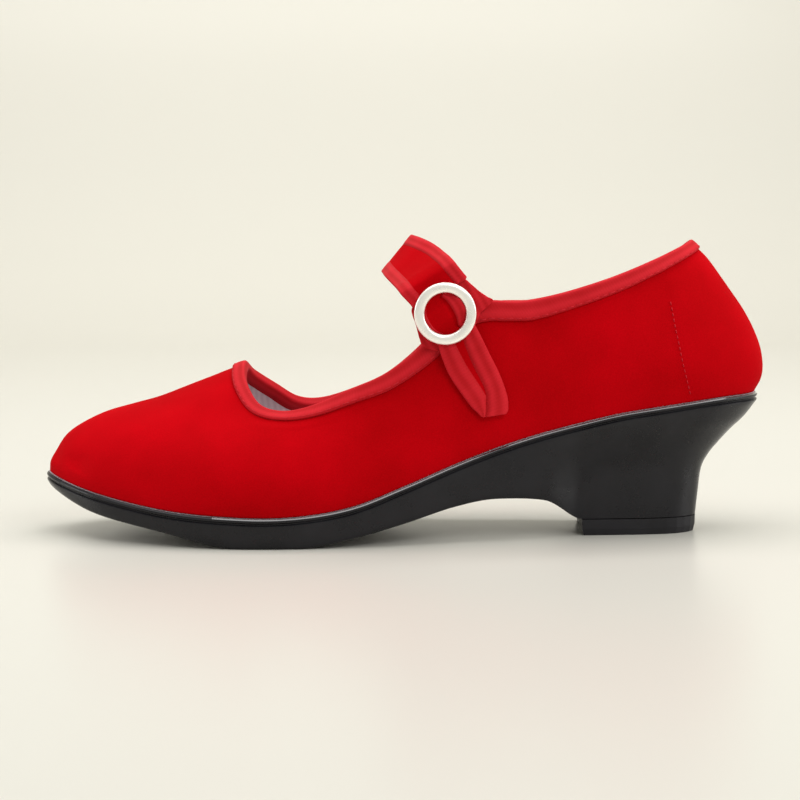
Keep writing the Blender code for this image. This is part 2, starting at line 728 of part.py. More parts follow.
def main():
    """Clear the scene and build every piece of the shoe."""
    for item in list(bpy.data.objects):
        bpy.data.objects.remove(item, do_unlink=True)
    shoe = bpy.data.collections.new("BarShoe")
    bpy.context.scene.collection.children.link(shoe)

    moulded = material("SoleMoulding", (0.025, 0.024, 0.028), 0.3)
    lift_rubber = material("LiftRubber", (0.02, 0.02, 0.022), 0.45)
    lining = material("InsoleCloth", (0.55, 0.52, 0.56), 0.9)
    velvet = material("VelvetCloth", (0.45, 0.0, 0.005), 0.85)
    tape = material("BindingTape", (0.58, 0.012, 0.03), 0.75)
    strap_cloth = material("StrapCloth", (0.5, 0.005, 0.015), 0.8)
    plated = material("PlatedMetal", (0.85, 0.85, 0.87), 0.2, 1.0)

    solid("sole_unit", *stack(sole_rings()), moulded, shoe)
    lift = lift_rings()
    solid("heel_top_lift", np.concatenate(lift), lift_faces(lift), lift_rubber, shoe)
    solid("insole", *stack(insole_rings()), lining, shoe)
    wall = upper_rings()
    upper = solid("upper", np.concatenate(wall), bands(wall, True), velvet, shoe)
    fold = tape_rings()
    binding = solid("topline_binding", np.concatenate(fold), bands(fold, True), tape, shoe)

    base = buckle_base(Skin([upper, binding]))
    tab = plate("buckle_tab", tab_outline(), TAB, TAB * 0.3, tape, shoe)
    tab.data.transform(Matrix.Translation((0.0, -base, 0.0)))
    ring = ring_solid(base, plated, shoe)
    united(ring, bar_solid(base, plated, shoe))
    skin = Skin([upper, binding, tab])
    solid("strap", *capped(strap_rings(base, skin)), strap_cloth, shoe)


main()
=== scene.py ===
"""Looks of the left cloth bar shoe: velvet upper, woven binding, moulded sole, strap and ring.

Every piece is made in metres in the part's own frame: toe to -X, heel to +X, buckle to -Y.
The soft pieces are remade finely from the shoe's own tables and dressed as the cloth they are.
"""
import logging
import math
from dataclasses import dataclass, field
from enum import Enum

import bmesh
import bpy
import numpy as np
from mathutils import Euler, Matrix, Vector, noise
from mathutils.bvhtree import BVHTree

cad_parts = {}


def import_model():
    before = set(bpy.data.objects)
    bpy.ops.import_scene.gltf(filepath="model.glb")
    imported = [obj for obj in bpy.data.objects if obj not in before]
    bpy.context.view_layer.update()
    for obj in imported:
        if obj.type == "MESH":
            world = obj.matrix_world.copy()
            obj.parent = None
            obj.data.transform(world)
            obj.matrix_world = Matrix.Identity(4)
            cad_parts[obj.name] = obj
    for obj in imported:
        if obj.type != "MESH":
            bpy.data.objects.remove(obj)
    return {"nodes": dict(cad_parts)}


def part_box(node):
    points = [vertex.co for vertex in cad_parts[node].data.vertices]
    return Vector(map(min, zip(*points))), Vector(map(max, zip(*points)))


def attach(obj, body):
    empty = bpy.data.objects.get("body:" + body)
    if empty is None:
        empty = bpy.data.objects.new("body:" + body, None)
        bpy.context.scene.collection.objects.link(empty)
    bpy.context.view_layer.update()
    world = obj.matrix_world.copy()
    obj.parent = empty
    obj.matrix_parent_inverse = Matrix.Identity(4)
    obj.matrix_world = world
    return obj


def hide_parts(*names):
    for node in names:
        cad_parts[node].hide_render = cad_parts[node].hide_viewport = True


LOG = logging.getLogger("bar_shoe")
Frames = tuple[np.ndarray, np.ndarray, np.ndarray, np.ndarray]
BODY = "root"
MM = 0.001
# The CAD nodes by name, filled once the frame is loaded.
CAD_NODES: dict[str, bpy.types.Object] = {}

# Stations from the heel to the toe, a value for each, as in the part.
FOOTPRINT: dict[str, tuple[float, ...]] = {
    "share": (1.0, 0.982, 0.93, 0.86, 0.79, 0.735, 0.675, 0.62,
              0.56, 0.49, 0.42, 0.345, 0.265, 0.165, 0.06, 0.0),
    "outer": (0.0, 0.175, 0.294, 0.338, 0.350, 0.358, 0.375, 0.398,
              0.425, 0.459, 0.488, 0.503, 0.490, 0.410, 0.222, -0.075),
    "inner": (0.0, 0.175, 0.294, 0.331, 0.325, 0.320, 0.319, 0.325,
              0.341, 0.378, 0.434, 0.481, 0.505, 0.475, 0.362, 0.075),
    "seat": (0.992, 0.992, 0.980, 0.935, 0.882, 0.821, 0.746, 0.663,
             0.552, 0.409, 0.280, 0.219, 0.214, 0.254, 0.353, 0.436),
    "form": (0.0, 0.25, 0.7, 1.0, 1.0, 1.0, 1.0, 1.0,
             1.0, 1.2, 1.5, 1.8, 2.0, 2.15, 2.6, 3.0),
}
UNDERSIDE: dict[str, tuple[float, ...]] = {
    "share": (0.912, 0.907, 0.877, 0.828, 0.777, 0.742, 0.684, 0.62,
              0.56, 0.49, 0.42, 0.345, 0.265, 0.168, 0.070, 0.022),
    "inner_share": (0.912, 0.907, 0.877, 0.832, 0.786, 0.755, 0.695, 0.62,
                    0.56, 0.49, 0.42, 0.345, 0.265, 0.168, 0.070, 0.022),
    "outer": (0.0, 0.112, 0.190, 0.216, 0.220, 0.222, 0.330, 0.366,
              0.397, 0.433, 0.465, 0.480, 0.466, 0.386, 0.202, -0.075),
    "inner": (0.0, 0.112, 0.190, 0.216, 0.220, 0.222, 0.280, 0.296,
              0.312, 0.350, 0.410, 0.458, 0.480, 0.448, 0.340, 0.075),
    "rise": (-1.0, -1.0, -1.0, -1.0, -1.0, -1.0, 0.283, 0.304,
             0.259, 0.153, 0.062, 0.0, 0.0, 0.098, 0.202, 0.318),
    "block": (1.0, 1.0, 1.0, 1.0, 1.0, 0.9, 0.3, 0.0,
              0.0, 0.0, 0.0, 0.0, 0.0, 0.0, 0.0, 0.0),
}
TOPLINE: dict[str, tuple[float, ...]] = {
    "outer_share": (0.903, 0.890, 0.843, 0.778, 0.708, 0.651, 0.598, 0.553,
                    0.515, 0.467, 0.418, 0.369, 0.329, 0.296, 0.277, 0.277),
    "outer": (0.0, 0.131, 0.250, 0.325, 0.359, 0.373, 0.380, 0.383,
              0.373, 0.358, 0.341, 0.316, 0.281, 0.216, 0.094, -0.075),
    "outer_rise": (1.0, 0.992, 0.945, 0.884, 0.832, 0.806, 0.806, 0.760,
                   0.655, 0.564, 0.509, 0.455, 0.434, 0.455, 0.527, 0.582),
    "inner_share": (0.903, 0.890, 0.843, 0.778, 0.708, 0.651, 0.602, 0.566,
                    0.533, 0.485, 0.433, 0.388, 0.353, 0.322, 0.290, 0.277),
    "inner": (0.0, 0.131, 0.250, 0.325, 0.356, 0.369, 0.378, 0.379,
              0.375, 0.370, 0.363, 0.350, 0.319, 0.275, 0.188, 0.075),
    "inner_rise": (1.0, 0.960, 0.884, 0.822, 0.785, 0.779, 0.766, 0.712,
                   0.617, 0.521, 0.464, 0.432, 0.440, 0.488, 0.545, 0.582),
}
CLIMB: dict[str, tuple[tuple[float, ...], ...]] = {
    "inward": ((0.0, -0.10, -0.13, -0.09, 0.03, 0.18, 0.36, 0.55, 0.80, 1.0),
               (0.0, 0.04, 0.10, 0.19, 0.30, 0.43, 0.57, 0.71, 0.86, 1.0),
               (0.0, 0.00, 0.03, 0.09, 0.18, 0.30, 0.45, 0.62, 0.81, 1.0),
               (0.0, 0.004, 0.03, 0.085, 0.17, 0.29, 0.44, 0.61, 0.80, 1.0)),
    "up": ((0.0, 0.08, 0.17, 0.29, 0.43, 0.55, 0.665, 0.78, 0.92, 1.0),
           (0.0, 0.10, 0.21, 0.33, 0.45, 0.57, 0.68, 0.79, 0.90, 1.0),
           (0.0, 0.12, 0.25, 0.38, 0.51, 0.63, 0.74, 0.84, 0.93, 1.0),
           (0.0, 0.09, 0.18, 0.33, 0.445, 0.55, 0.63, 0.725, 0.86, 1.0)),
    "out": ((0.0, 0.0, 0.0, 0.0, 0.0, 0.0, 0.0, 0.0, 0.0, 0.0),
            (0.0, 0.45, 0.80, 1.00, 1.00, 0.86, 0.64, 0.36, 0.14, 0.0),
            (0.0, 0.27, 0.41, 0.45, 0.41, 0.32, 0.18, 0.09, 0.0, 0.0),
            (0.0, 0.0, 0.0, 0.0, 0.0, 0.0, 0.0, 0.0, 0.0, 0.0)),
}
STRAP_ROWS: tuple[tuple[float, ...], ...] = (
    (0.542, 0.555, 0.598, 0.610, 0.400),
    (0.537, 0.620, 0.601, 0.690, 0.410),
    (0.533, 0.690, 0.603, 0.780, 0.415),
    (0.527, 0.760, 0.598, 0.875, 0.410),
    (0.509, 0.815, 0.576, 0.935, 0.370),
    (0.494, 0.853, 0.554, 0.983, 0.285),
    (0.479, 0.884, 0.531, 1.011, 0.165),
    (0.4705, 0.900, 0.512, 1.026, 0.020),
    (0.4720, 0.888, 0.523, 1.014, -0.125),
    (0.4767, 0.873, 0.539, 0.991, -0.236),
    (0.4803, 0.862, 0.547, 0.972, -0.322),
    (0.4828, 0.853, 0.552, 0.959, -0.390),
)
THREAD_ROWS: tuple[tuple[float, ...], ...] = (
    (-1.20, 0.098, 1.984, 0.0),
    (-1.00, 0.137, 1.966, 0.0),
    (-0.80, 0.176, 1.948, 0.0),
    (-0.64, 0.20, 1.92, 0.0),
    (-0.60, 0.06, 1.35, 0.0),
    (-0.52, 0.0, 0.84, 0.05),
    (-0.42, 0.0, 1.02, 0.25),
    (-0.30, 0.0, 1.17, 0.57),
    (-0.13, 0.0, 1.29, 1.0),
    (0.13, 0.0, 1.29, 1.0),
    (0.30, 0.0, 1.17, 0.57),
    (0.42, 0.0, 1.02, 0.25),
    (0.52, 0.0, 0.84, 0.05),
    (0.62, 0.0, 1.16, 0.0),
    (0.80, -0.02, 1.30, 0.0),
    (1.00, -0.05, 1.37, 0.0),
)
TAIL_ROWS: tuple[tuple[float, ...], ...] = (
    (1.33, -0.09, 1.41, 0.0),
    (1.68, -0.12, 1.44, 0.0),
    (2.05, -0.135, 1.42, 0.0),
    (2.42, -0.13, 1.37, 0.0),
    (2.80, -0.135, 1.29, 0.0),
    (3.12, -0.148, 1.18, 0.03),
    (3.40, -0.16, 1.01, 0.08),
    (3.60, -0.20, 0.84, 0.11),
    (3.68, -0.23, 0.64, 0.13),
)


class SoleFace(Enum):
    """The finishes of the sole unit's faces, in the order of its materials."""

    BODY = 0
    # The lighter, glossier lip finish: a painted highlight.
    LIP = 1
    TREAD = 2
    SOCK = 3


class Side(Enum):
    """The two sides of the shoe, as the sign of Y."""

    OUTER = -1.0
    INNER = 1.0


# Numbers and curves


def unit(vectors: np.ndarray) -> np.ndarray:
    """Vectors of length one."""
    return vectors / np.maximum(np.linalg.norm(vectors, axis=-1, keepdims=True), 1e-12)


def around(outer: tuple[float, ...], inner: tuple[float, ...]) -> np.ndarray:
    """Join a value of the outer side and of the inner side at every station to one loop.

    Args:
        outer: Values from the heel to the toe on the outer side.
        inner: Values from the heel to the toe on the inner side.

    Returns:
        The values of the closed loop, heel first.
    """
    return np.array(list(outer) + list(inner)[-2:0:-1], dtype=float)


def closed_curve(loop: np.ndarray, steps: int, steady: bool = False) -> np.ndarray:
    """Curve through a closed loop of values.

    Args:
        loop: Values at the knots.
        steps: Points made from each knot to the next.
        steady: Whether the curve must not overshoot its knots.

    Returns:
        The curve's values, steps for each knot.
    """
    after = np.roll(loop, -1) - loop
    before = np.roll(after, 1)
    slope = (after + before) / 2.0
    if steady:
        limit = 3.0 * np.minimum(np.abs(before), np.abs(after))
        slope = np.where(before * after <= 0.0, 0.0, np.clip(slope, -limit, limit))
    part = np.arange(steps)[None, :] / steps
    start, end = loop[:, None], np.roll(loop, -1)[:, None]
    leave, arrive = slope[:, None], np.roll(slope, -1)[:, None]
    values = ((1.0 + 2.0 * part) * (1.0 - part) ** 2 * start
              + part * (1.0 - part) ** 2 * leave
              + part ** 2 * (3.0 - 2.0 * part) * end
              + part ** 2 * (part - 1.0) * arrive)
    return values.reshape(-1)


def open_curve(rows: np.ndarray, steps: int, steady: bool = False) -> np.ndarray:
    """Curve through rows of values, the first and the last row kept.

    Args:
        rows: Array whose first axis runs along the curve.
        steps: Points made from each row to the next.
        steady: Whether the curve must not overshoot its rows.

    Returns:
        The same array with (rows - 1) * steps + 1 rows.
    """
    slope = np.empty_like(rows)
    slope[1:-1] = (rows[2:] - rows[:-2]) / 2.0
    slope[0] = rows[1] - rows[0]
    slope[-1] = rows[-1] - rows[-2]
    if steady:
        before, after = rows[1:-1] - rows[:-2], rows[2:] - rows[1:-1]
        limit = 3.0 * np.minimum(np.abs(before), np.abs(after))
        slope[1:-1] = np.where(before * after <= 0.0, 0.0, np.clip(slope[1:-1], -limit, limit))
    made = []
    for index in range(len(rows) - 1):
        for step in range(steps):
            part = step / steps
            made.append((1.0 + 2.0 * part) * (1.0 - part) ** 2 * rows[index]
                        + part * (1.0 - part) ** 2 * slope[index]
                        + part ** 2 * (3.0 - 2.0 * part) * rows[index + 1]
                        + part ** 2 * (part - 1.0) * slope[index + 1])
    made.append(rows[-1])
    return np.array(made)


def run_length(points: np.ndarray, closed: bool) -> np.ndarray:
    """Distance along a line of points, with the way back to the first one if it is closed."""
    steps = np.linalg.norm(np.diff(points, axis=0), axis=1)
    total = np.concatenate([[0.0], np.cumsum(steps)])
    if closed:
        total = np.append(total, total[-1] + np.linalg.norm(points[0] - points[-1]))
    return total


def soft_step(low: float, high: float, values: np.ndarray) -> np.ndarray:
    """Smooth rise from 0 at low to 1 at high."""
    part = np.clip((values - low) / (high - low), 0.0, 1.0)
    return part * part * (3.0 - 2.0 * part)


# Meshes


def grid_object(name: str, grid: np.ndarray, around_too: bool, over_too: bool,
                across: np.ndarray, along: np.ndarray) -> bpy.types.Object:
    """Make an object from a grid of points, with a UV map in metres.

    Args:
        name: Name of the object.
        grid: Points as rows, columns and coordinates.
        around_too: Whether the last column joins the first.
        over_too: Whether the last row joins the first.
        across: U of every column, one more where the columns are closed.
        along: V of every row, one more where the rows are closed.

    Returns:
        The linked object.
    """
    rows, columns = grid.shape[:2]
    row_faces = rows if over_too else rows - 1
    column_faces = columns if around_too else columns - 1
    faces: list[tuple[int, ...]] = []
    places: list[tuple[float, float]] = []
    for row in range(row_faces):
        above = (row + 1) % rows
        for column in range(column_faces):
            beside = (column + 1) % columns
            faces.append((row * columns + column, row * columns + beside,
                          above * columns + beside, above * columns + column))
            places += [(across[column], along[row]), (across[column + 1], along[row]),
                       (across[column + 1], along[row + 1]), (across[column], along[row + 1])]
    mesh = bpy.data.meshes.new(name)
    mesh.from_pydata(grid.reshape(-1, 3).tolist(), [], faces)
    layer = mesh.uv_layers.new(name="Lay")
    layer.data.foreach_set("uv", np.array(places).reshape(-1))
    made = bpy.data.objects.new(name, mesh)
    bpy.context.scene.collection.objects.link(made)
    return made


def face_out(item: bpy.types.Object) -> None:
    """Turn all faces of a closed piece outwards and shade it smooth.

    Args:
        item: The closed piece.
    """
    work = bmesh.new()
    work.from_mesh(item.data)
    bmesh.ops.recalc_face_normals(work, faces=work.faces)
    work.to_mesh(item.data)
    work.free()
    item.data.shade_smooth()


def cap_ends(item: bpy.types.Object, count: int, rows: int) -> None:
    """Close the first and the last section of a grid.

    Args:
        item: The piece made from the grid.
        count: Points in a row.
        rows: Rows of the grid.
    """
    work = bmesh.new()
    work.from_mesh(item.data)
    work.verts.ensure_lookup_table()
    for start in (0, (rows - 1) * count):
        work.faces.new([work.verts[start + step] for step in range(count)])
    work.to_mesh(item.data)
    work.free()


def cap_rungs(item: bpy.types.Object, start: int, count: int) -> None:
    """Close a mirrored loop of points by rungs from one side to the other.

    Args:
        item: The piece that holds the loop.
        start: Its first point.
        count: Its number of points.
    """
    half = count // 2
    work = bmesh.new()
    work.from_mesh(item.data)
    work.verts.ensure_lookup_table()

    def face(*steps: int) -> None:
        """Add one face of the loop's points."""
        work.faces.new([work.verts[start + step] for step in steps])

    face(0, 1, count - 1)
    for column in range(1, half - 1):
        face(column, column + 1, count - column - 1, count - column)
    face(half - 1, half, half + 1)
    work.to_mesh(item.data)
    work.free()


# Finishes


def linear(code: str) -> tuple[float, float, float, float]:
    """Linear colour of an sRGB hex value such as #B4000C."""
    parts = [int(code[place:place + 2], 16) / 255.0 for place in (1, 3, 5)]
    shades = [part / 12.92 if part <= 0.04045 else ((part + 0.055) / 1.055) ** 2.4
              for part in parts]
    return (shades[0], shades[1], shades[2], 1.0)


def add(tree: bpy.types.NodeTree, kind: str, settings: dict | None = None,
        links: dict | None = None) -> bpy.types.Node:
    """Add a node with its settings and links.

    Args:
        tree: Tree that gets the node.
        kind: Blender's type name of the node.
        settings: Values by attribute name, or by input name or number.
        links: Sockets that feed the node, by input name or number.

    Returns:
        The new node.
    """
    node = tree.nodes.new(kind)
    for key, value in (settings or {}).items():
        if isinstance(key, str) and hasattr(node, key):
            setattr(node, key, value)
        else:
            node.inputs[key].default_value = value
    for key, socket in (links or {}).items():
        tree.links.new(socket, node.inputs[key])
    return node


def grain_scale(size_mm: float) -> float:
    """Noise scale at which one blot of grain is size_mm wide."""
    return 1.0 / (size_mm * MM)


def band_scale(pitch_mm: float) -> float:
    """Wave scale at which one thread or rib follows another every pitch_mm."""
    return 0.314 / (pitch_mm * MM) / 2.0


def new_material(name: str) -> tuple[bpy.types.Material, bpy.types.NodeTree, bpy.types.Node]:
    """Start a material.

    Args:
        name: Name of the real material.

    Returns:
        The material, its tree and its shader.
    """
    made = bpy.data.materials.new(name)
    made.use_nodes = True
    tree = made.node_tree
    return made, tree, tree.nodes["Principled BSDF"]


@dataclass(frozen=True)
class VelvetPile:
    """Cotton velvet: a short dense pile that drinks the light and glows at grazing angles.

    The real pile stands about 0.1 mm apart, and is drawn coarser so that it shows.
    """

    name: str = "cotton_velvet_red"
    deep: str = "#A60006"
    lit: str = "#BE000C"
    glow: str = "#FF1020"
    patch_mm: float = 38.0
    pile_mm: float = 0.45

    def build(self) -> bpy.types.Material:
        """Make the material.

        Returns:
            Velvet with leaning patches of pile and a fine fibrous bump.
        """
        made, tree, shader = new_material(self.name)
        place = add(tree, "ShaderNodeTexCoord")
        lean = add(tree, "ShaderNodeTexNoise",
                   {"Scale": grain_scale(self.patch_mm), "Detail": 3.0, "Roughness": 0.55},
                   {"Vector": place.outputs["Object"]})
        fine = add(tree, "ShaderNodeTexNoise",
                   {"Scale": grain_scale(self.pile_mm), "Detail": 2.0, "Roughness": 0.6},
                   {"Vector": place.outputs["Object"]})
        blend = add(tree, "ShaderNodeMix", {"data_type": "FLOAT", 0: 0.28},
                    {2: lean.outputs["Fac"], 3: fine.outputs["Fac"]})
        shades = add(tree, "ShaderNodeValToRGB", None, {"Fac": blend.outputs[0]})
        shades.color_ramp.elements[0].position = 0.36
        shades.color_ramp.elements[0].color = linear(self.deep)
        shades.color_ramp.elements[1].position = 0.66
        shades.color_ramp.elements[1].color = linear(self.lit)
        bump = add(tree, "ShaderNodeBump", {"Strength": 0.35, "Distance": 0.12 * MM},
                   {"Height": fine.outputs["Fac"]})
        tree.links.new(shades.outputs["Color"], shader.inputs["Base Color"])
        tree.links.new(bump.outputs["Normal"], shader.inputs["Normal"])
        shader.inputs["Roughness"].default_value = 0.95
        shader.inputs["Specular IOR Level"].default_value = 0.04
        shader.inputs["Sheen Weight"].default_value = 0.07
        shader.inputs["Sheen Roughness"].default_value = 0.3
        shader.inputs["Sheen Tint"].default_value = linear(self.glow)
        return made


@dataclass(frozen=True)
class WovenTape:
    """Grosgrain binding tape: fine cords run across a flat woven band with lengthwise lines.

    The real cords lie about 0.3 mm apart, and are drawn coarser so that they show.
    """

    name: str = "grosgrain_tape_red"
    ground: str = "#B00813"
    raised: str = "#CA1B27"
    glow: str = "#FF4050"
    line_mm: float = 1.3
    cord_mm: float = 0.5
    wear_mm: float = 9.0

    def build(self) -> bpy.types.Material:
        """Make the material.

        Returns:
            Woven tape whose lines follow the piece's own map.
        """
        made, tree, shader = new_material(self.name)
        place = add(tree, "ShaderNodeUVMap", {"uv_map": "Lay"})
        lines = add(tree, "ShaderNodeTexWave",
                    {"wave_type": "BANDS", "bands_direction": "Y",
                     "Scale": band_scale(self.line_mm), "Distortion": 0.6,
                     "Detail": 1.0, "Detail Scale": 0.4},
                    {"Vector": place.outputs["UV"]})
        cords = add(tree, "ShaderNodeTexWave",
                    {"wave_type": "BANDS", "bands_direction": "X",
                     "Scale": band_scale(self.cord_mm), "Distortion": 0.4},
                    {"Vector": place.outputs["UV"]})
        spread = add(tree, "ShaderNodeTexNoise",
                     {"Scale": grain_scale(self.wear_mm), "Detail": 3.0},
                     {"Vector": place.outputs["UV"]})
        weave = add(tree, "ShaderNodeMix", {"data_type": "FLOAT", 0: 0.16},
                    {2: lines.outputs["Fac"], 3: cords.outputs["Fac"]})
        tone = add(tree, "ShaderNodeMix", {"data_type": "FLOAT", 0: 0.55},
                   {2: weave.outputs[0], 3: spread.outputs["Fac"]})
        shades = add(tree, "ShaderNodeValToRGB", None, {"Fac": tone.outputs[0]})
        shades.color_ramp.elements[0].position = 0.25
        shades.color_ramp.elements[0].color = linear(self.ground)
        shades.color_ramp.elements[1].position = 0.8
        shades.color_ramp.elements[1].color = linear(self.raised)
        bump = add(tree, "ShaderNodeBump", {"Strength": 0.6, "Distance": 0.15 * MM},
                   {"Height": weave.outputs[0]})
        tree.links.new(shades.outputs["Color"], shader.inputs["Base Color"])
        tree.links.new(bump.outputs["Normal"], shader.inputs["Normal"])
        shader.inputs["Roughness"].default_value = 0.7
        shader.inputs["Specular IOR Level"].default_value = 0.15
        shader.inputs["Sheen Weight"].default_value = 0.03
        shader.inputs["Sheen Roughness"].default_value = 0.4
        shader.inputs["Sheen Tint"].default_value = linear(self.glow)
        return made


@dataclass(frozen=True)
class MouldedSole:
    """Injected sole compound: near black, with a glossy skin, faint flow marks and dust."""

    name: str = "moulded_sole_compound"
    dark: str = "#131216"
    light: str = "#1D1C20"
    gloss: float = 0.26
    mirror: float = 0.24
    skin: float = 0.0
    tread_mm: float = 0.0
    flow_mm: float = 14.0
    grit_mm: float = 0.9

    def build(self) -> bpy.types.Material:
        """Make the material.

        Returns:
            Glossy compound with uneven gloss.
        """
        made, tree, shader = new_material(self.name)
        place = add(tree, "ShaderNodeTexCoord")
        flow = add(tree, "ShaderNodeTexNoise",
                   {"Scale": grain_scale(self.flow_mm), "Detail": 4.0, "Roughness": 0.6},
                   {"Vector": place.outputs["Object"]})
        grit = add(tree, "ShaderNodeTexNoise",
                   {"Scale": grain_scale(self.grit_mm), "Detail": 3.0, "Roughness": 0.65},
                   {"Vector": place.outputs["Object"]})
        shades = add(tree, "ShaderNodeValToRGB", None, {"Fac": flow.outputs["Fac"]})
        shades.color_ramp.elements[0].position = 0.35
        shades.color_ramp.elements[0].color = linear(self.dark)
        shades.color_ramp.elements[1].position = 0.7
        shades.color_ramp.elements[1].color = linear(self.light)
        mixed = add(tree, "ShaderNodeMix", {"data_type": "FLOAT", 0: 0.15},
                    {2: flow.outputs["Fac"], 3: grit.outputs["Fac"]})
        rough = add(tree, "ShaderNodeMapRange",
                    {"From Min": 0.3, "From Max": 0.7, "To Min": self.gloss - 0.05,
                     "To Max": self.gloss + 0.12},
                    {"Value": mixed.outputs[0]})
        bump = add(tree, "ShaderNodeBump", {"Strength": 0.06, "Distance": 0.06 * MM},
                   {"Height": grit.outputs["Fac"]})
        tree.links.new(shades.outputs["Color"], shader.inputs["Base Color"])
        tree.links.new(rough.outputs["Result"], shader.inputs["Roughness"])
        if self.tread_mm > 0.0:
            ribs = add(tree, "ShaderNodeTexWave",
                       {"wave_type": "BANDS", "bands_direction": "X",
                        "Scale": band_scale(self.tread_mm), "Distortion": 1.2,
                        "Detail Scale": 0.3},
                       {"Vector": place.outputs["Object"]})
            bump = add(tree, "ShaderNodeBump", {"Strength": 1.0, "Distance": 0.5 * MM},
                       {"Height": ribs.outputs["Fac"], "Normal": bump.outputs["Normal"]})
        tree.links.new(bump.outputs["Normal"], shader.inputs["Normal"])
        shader.inputs["IOR"].default_value = 1.53
        shader.inputs["Specular IOR Level"].default_value = self.mirror
        shader.inputs["Coat Weight"].default_value = self.skin
        shader.inputs["Coat Roughness"].default_value = 0.1
        return made


@dataclass(frozen=True)
class PlatedRing:
    """Bright plated zinc: a clean silver-white skin with soft polish swirls."""

    name: str = "bright_plated_zinc"
    tint: str = "#FFFCF4"
    swirl_mm: float = 6.0

    def build(self) -> bpy.types.Material:
        """Make the material.

        Returns:
            Polished plating with a slightly uneven gloss.
        """
        made, tree, shader = new_material(self.name)
        place = add(tree, "ShaderNodeTexCoord")
        polish = add(tree, "ShaderNodeTexNoise",
                     {"Scale": grain_scale(self.swirl_mm), "Detail": 1.0, "Roughness": 0.5},
                     {"Vector": place.outputs["Object"]})
        rough = add(tree, "ShaderNodeMapRange",
                    {"From Min": 0.3, "From Max": 0.7, "To Min": 0.26, "To Max": 0.31},
                    {"Value": polish.outputs["Fac"]})
        tree.links.new(rough.outputs["Result"], shader.inputs["Roughness"])
        shader.inputs["Base Color"].default_value = linear(self.tint)
        shader.inputs["Metallic"].default_value = 0.62
        return made


@dataclass(frozen=True)
class LiningCloth:
    """Plain cotton drill lining: a pale lilac-grey twill with a soft matt face.

    The real threads lie about 0.35 mm apart, and are drawn coarser so that they show.
    """

    name: str = "cotton_drill_lining"
    warp: str = "#F4E8EA"
    weft: str = "#E2D2D6"
    thread_mm: float = 0.5
    soil_mm: float = 18.0

    def build(self) -> bpy.types.Material:
        """Make the material.

        Returns:
            Matt twill.
        """
        made, tree, shader = new_material(self.name)
        place = add(tree, "ShaderNodeTexCoord")
        twill = add(tree, "ShaderNodeTexWave",
                    {"wave_type": "BANDS", "bands_direction": "DIAGONAL",
                     "Scale": band_scale(self.thread_mm), "Distortion": 0.8},
                    {"Vector": place.outputs["Object"]})
        soil = add(tree, "ShaderNodeTexNoise", {"Scale": grain_scale(self.soil_mm), "Detail": 4.0},
                   {"Vector": place.outputs["Object"]})
        tone = add(tree, "ShaderNodeMix", {"data_type": "FLOAT", 0: 0.6},
                   {2: twill.outputs["Fac"], 3: soil.outputs["Fac"]})
        shades = add(tree, "ShaderNodeValToRGB", None, {"Fac": tone.outputs[0]})
        shades.color_ramp.elements[0].position = 0.2
        shades.color_ramp.elements[0].color = linear(self.weft)
        shades.color_ramp.elements[1].position = 0.75
        shades.color_ramp.elements[1].color = linear(self.warp)
        bump = add(tree, "ShaderNodeBump", {"Strength": 0.4, "Distance": 0.1 * MM},
                   {"Height": twill.outputs["Fac"]})
        tree.links.new(shades.outputs["Color"], shader.inputs["Base Color"])
        tree.links.new(bump.outputs["Normal"], shader.inputs["Normal"])
        shader.inputs["Roughness"].default_value = 0.92
        shader.inputs["Specular IOR Level"].default_value = 0.2
        return made


@dataclass(frozen=True)
class SewingThread:
    """Spun polyester sewing thread: two twisted plies with a faint silky gloss."""

    name: str = "spun_sewing_thread"
    shade: str = "#A81420"
    colour: str = "#CC2430"
    twist_mm: float = 0.3

    def build(self) -> bpy.types.Material:
        """Make the material.

        Returns:
            Thread with a fine twist.
        """
        made, tree, shader = new_material(self.name)
        place = add(tree, "ShaderNodeTexCoord")
        twist = add(tree, "ShaderNodeTexNoise",
                    {"Scale": grain_scale(self.twist_mm), "Detail": 1.0},
                    {"Vector": place.outputs["Object"]})
        shades = add(tree, "ShaderNodeValToRGB", None, {"Fac": twist.outputs["Fac"]})
        shades.color_ramp.elements[0].color = linear(self.shade)
        shades.color_ramp.elements[1].color = linear(self.colour)
        tree.links.new(shades.outputs["Color"], shader.inputs["Base Color"])
        shader.inputs["Roughness"].default_value = 0.7
        shader.inputs["Specular IOR Level"].default_value = 0.15
        return made


@dataclass(frozen=True)
class StudioPaper:
    """Seamless studio paper: pale warm white with the faintest linen grain."""

    name: str = "studio_paper"
    # Tones of a painted shade: the floor round the shoe is darker, the far floor and sweep lighter.
    far: str = "#EAE7DC"
    near: str = "#CFCDC4"
    grain_mm: float = 1.2

    def build(self) -> bpy.types.Material:
        """Make the material.

        Returns:
            Matt pale paper with a slight gloss for a soft reflection.
        """
        made, tree, shader = new_material(self.name)
        place = add(tree, "ShaderNodeTexCoord")
        grain = add(tree, "ShaderNodeTexNoise",
                    {"Scale": grain_scale(self.grain_mm), "Detail": 2.0},
                    {"Vector": place.outputs["Object"]})
        # Painted shade: the paper is darker on the floor near the shoe and grows lighter towards
        # the back and up the sweep.
        parts = add(tree, "ShaderNodeSeparateXYZ", None, {"Vector": place.outputs["Object"]})
        depth = add(tree, "ShaderNodeMapRange", {"From Min": 0.15, "From Max": 1.1},
                    {"Value": parts.outputs["Y"]})
        mixed = add(tree, "ShaderNodeMix", {"data_type": "FLOAT", 0: 0.03},
                    {2: depth.outputs["Result"], 3: grain.outputs["Fac"]})
        shades = add(tree, "ShaderNodeValToRGB", None, {"Fac": mixed.outputs[0]})
        shades.color_ramp.elements[0].color = linear(self.near)
        shades.color_ramp.elements[1].color = linear(self.far)
        tree.links.new(shades.outputs["Color"], shader.inputs["Base Color"])
        shader.inputs["Roughness"].default_value = 0.3
        shader.inputs["Specular IOR Level"].default_value = 0.3
        return made


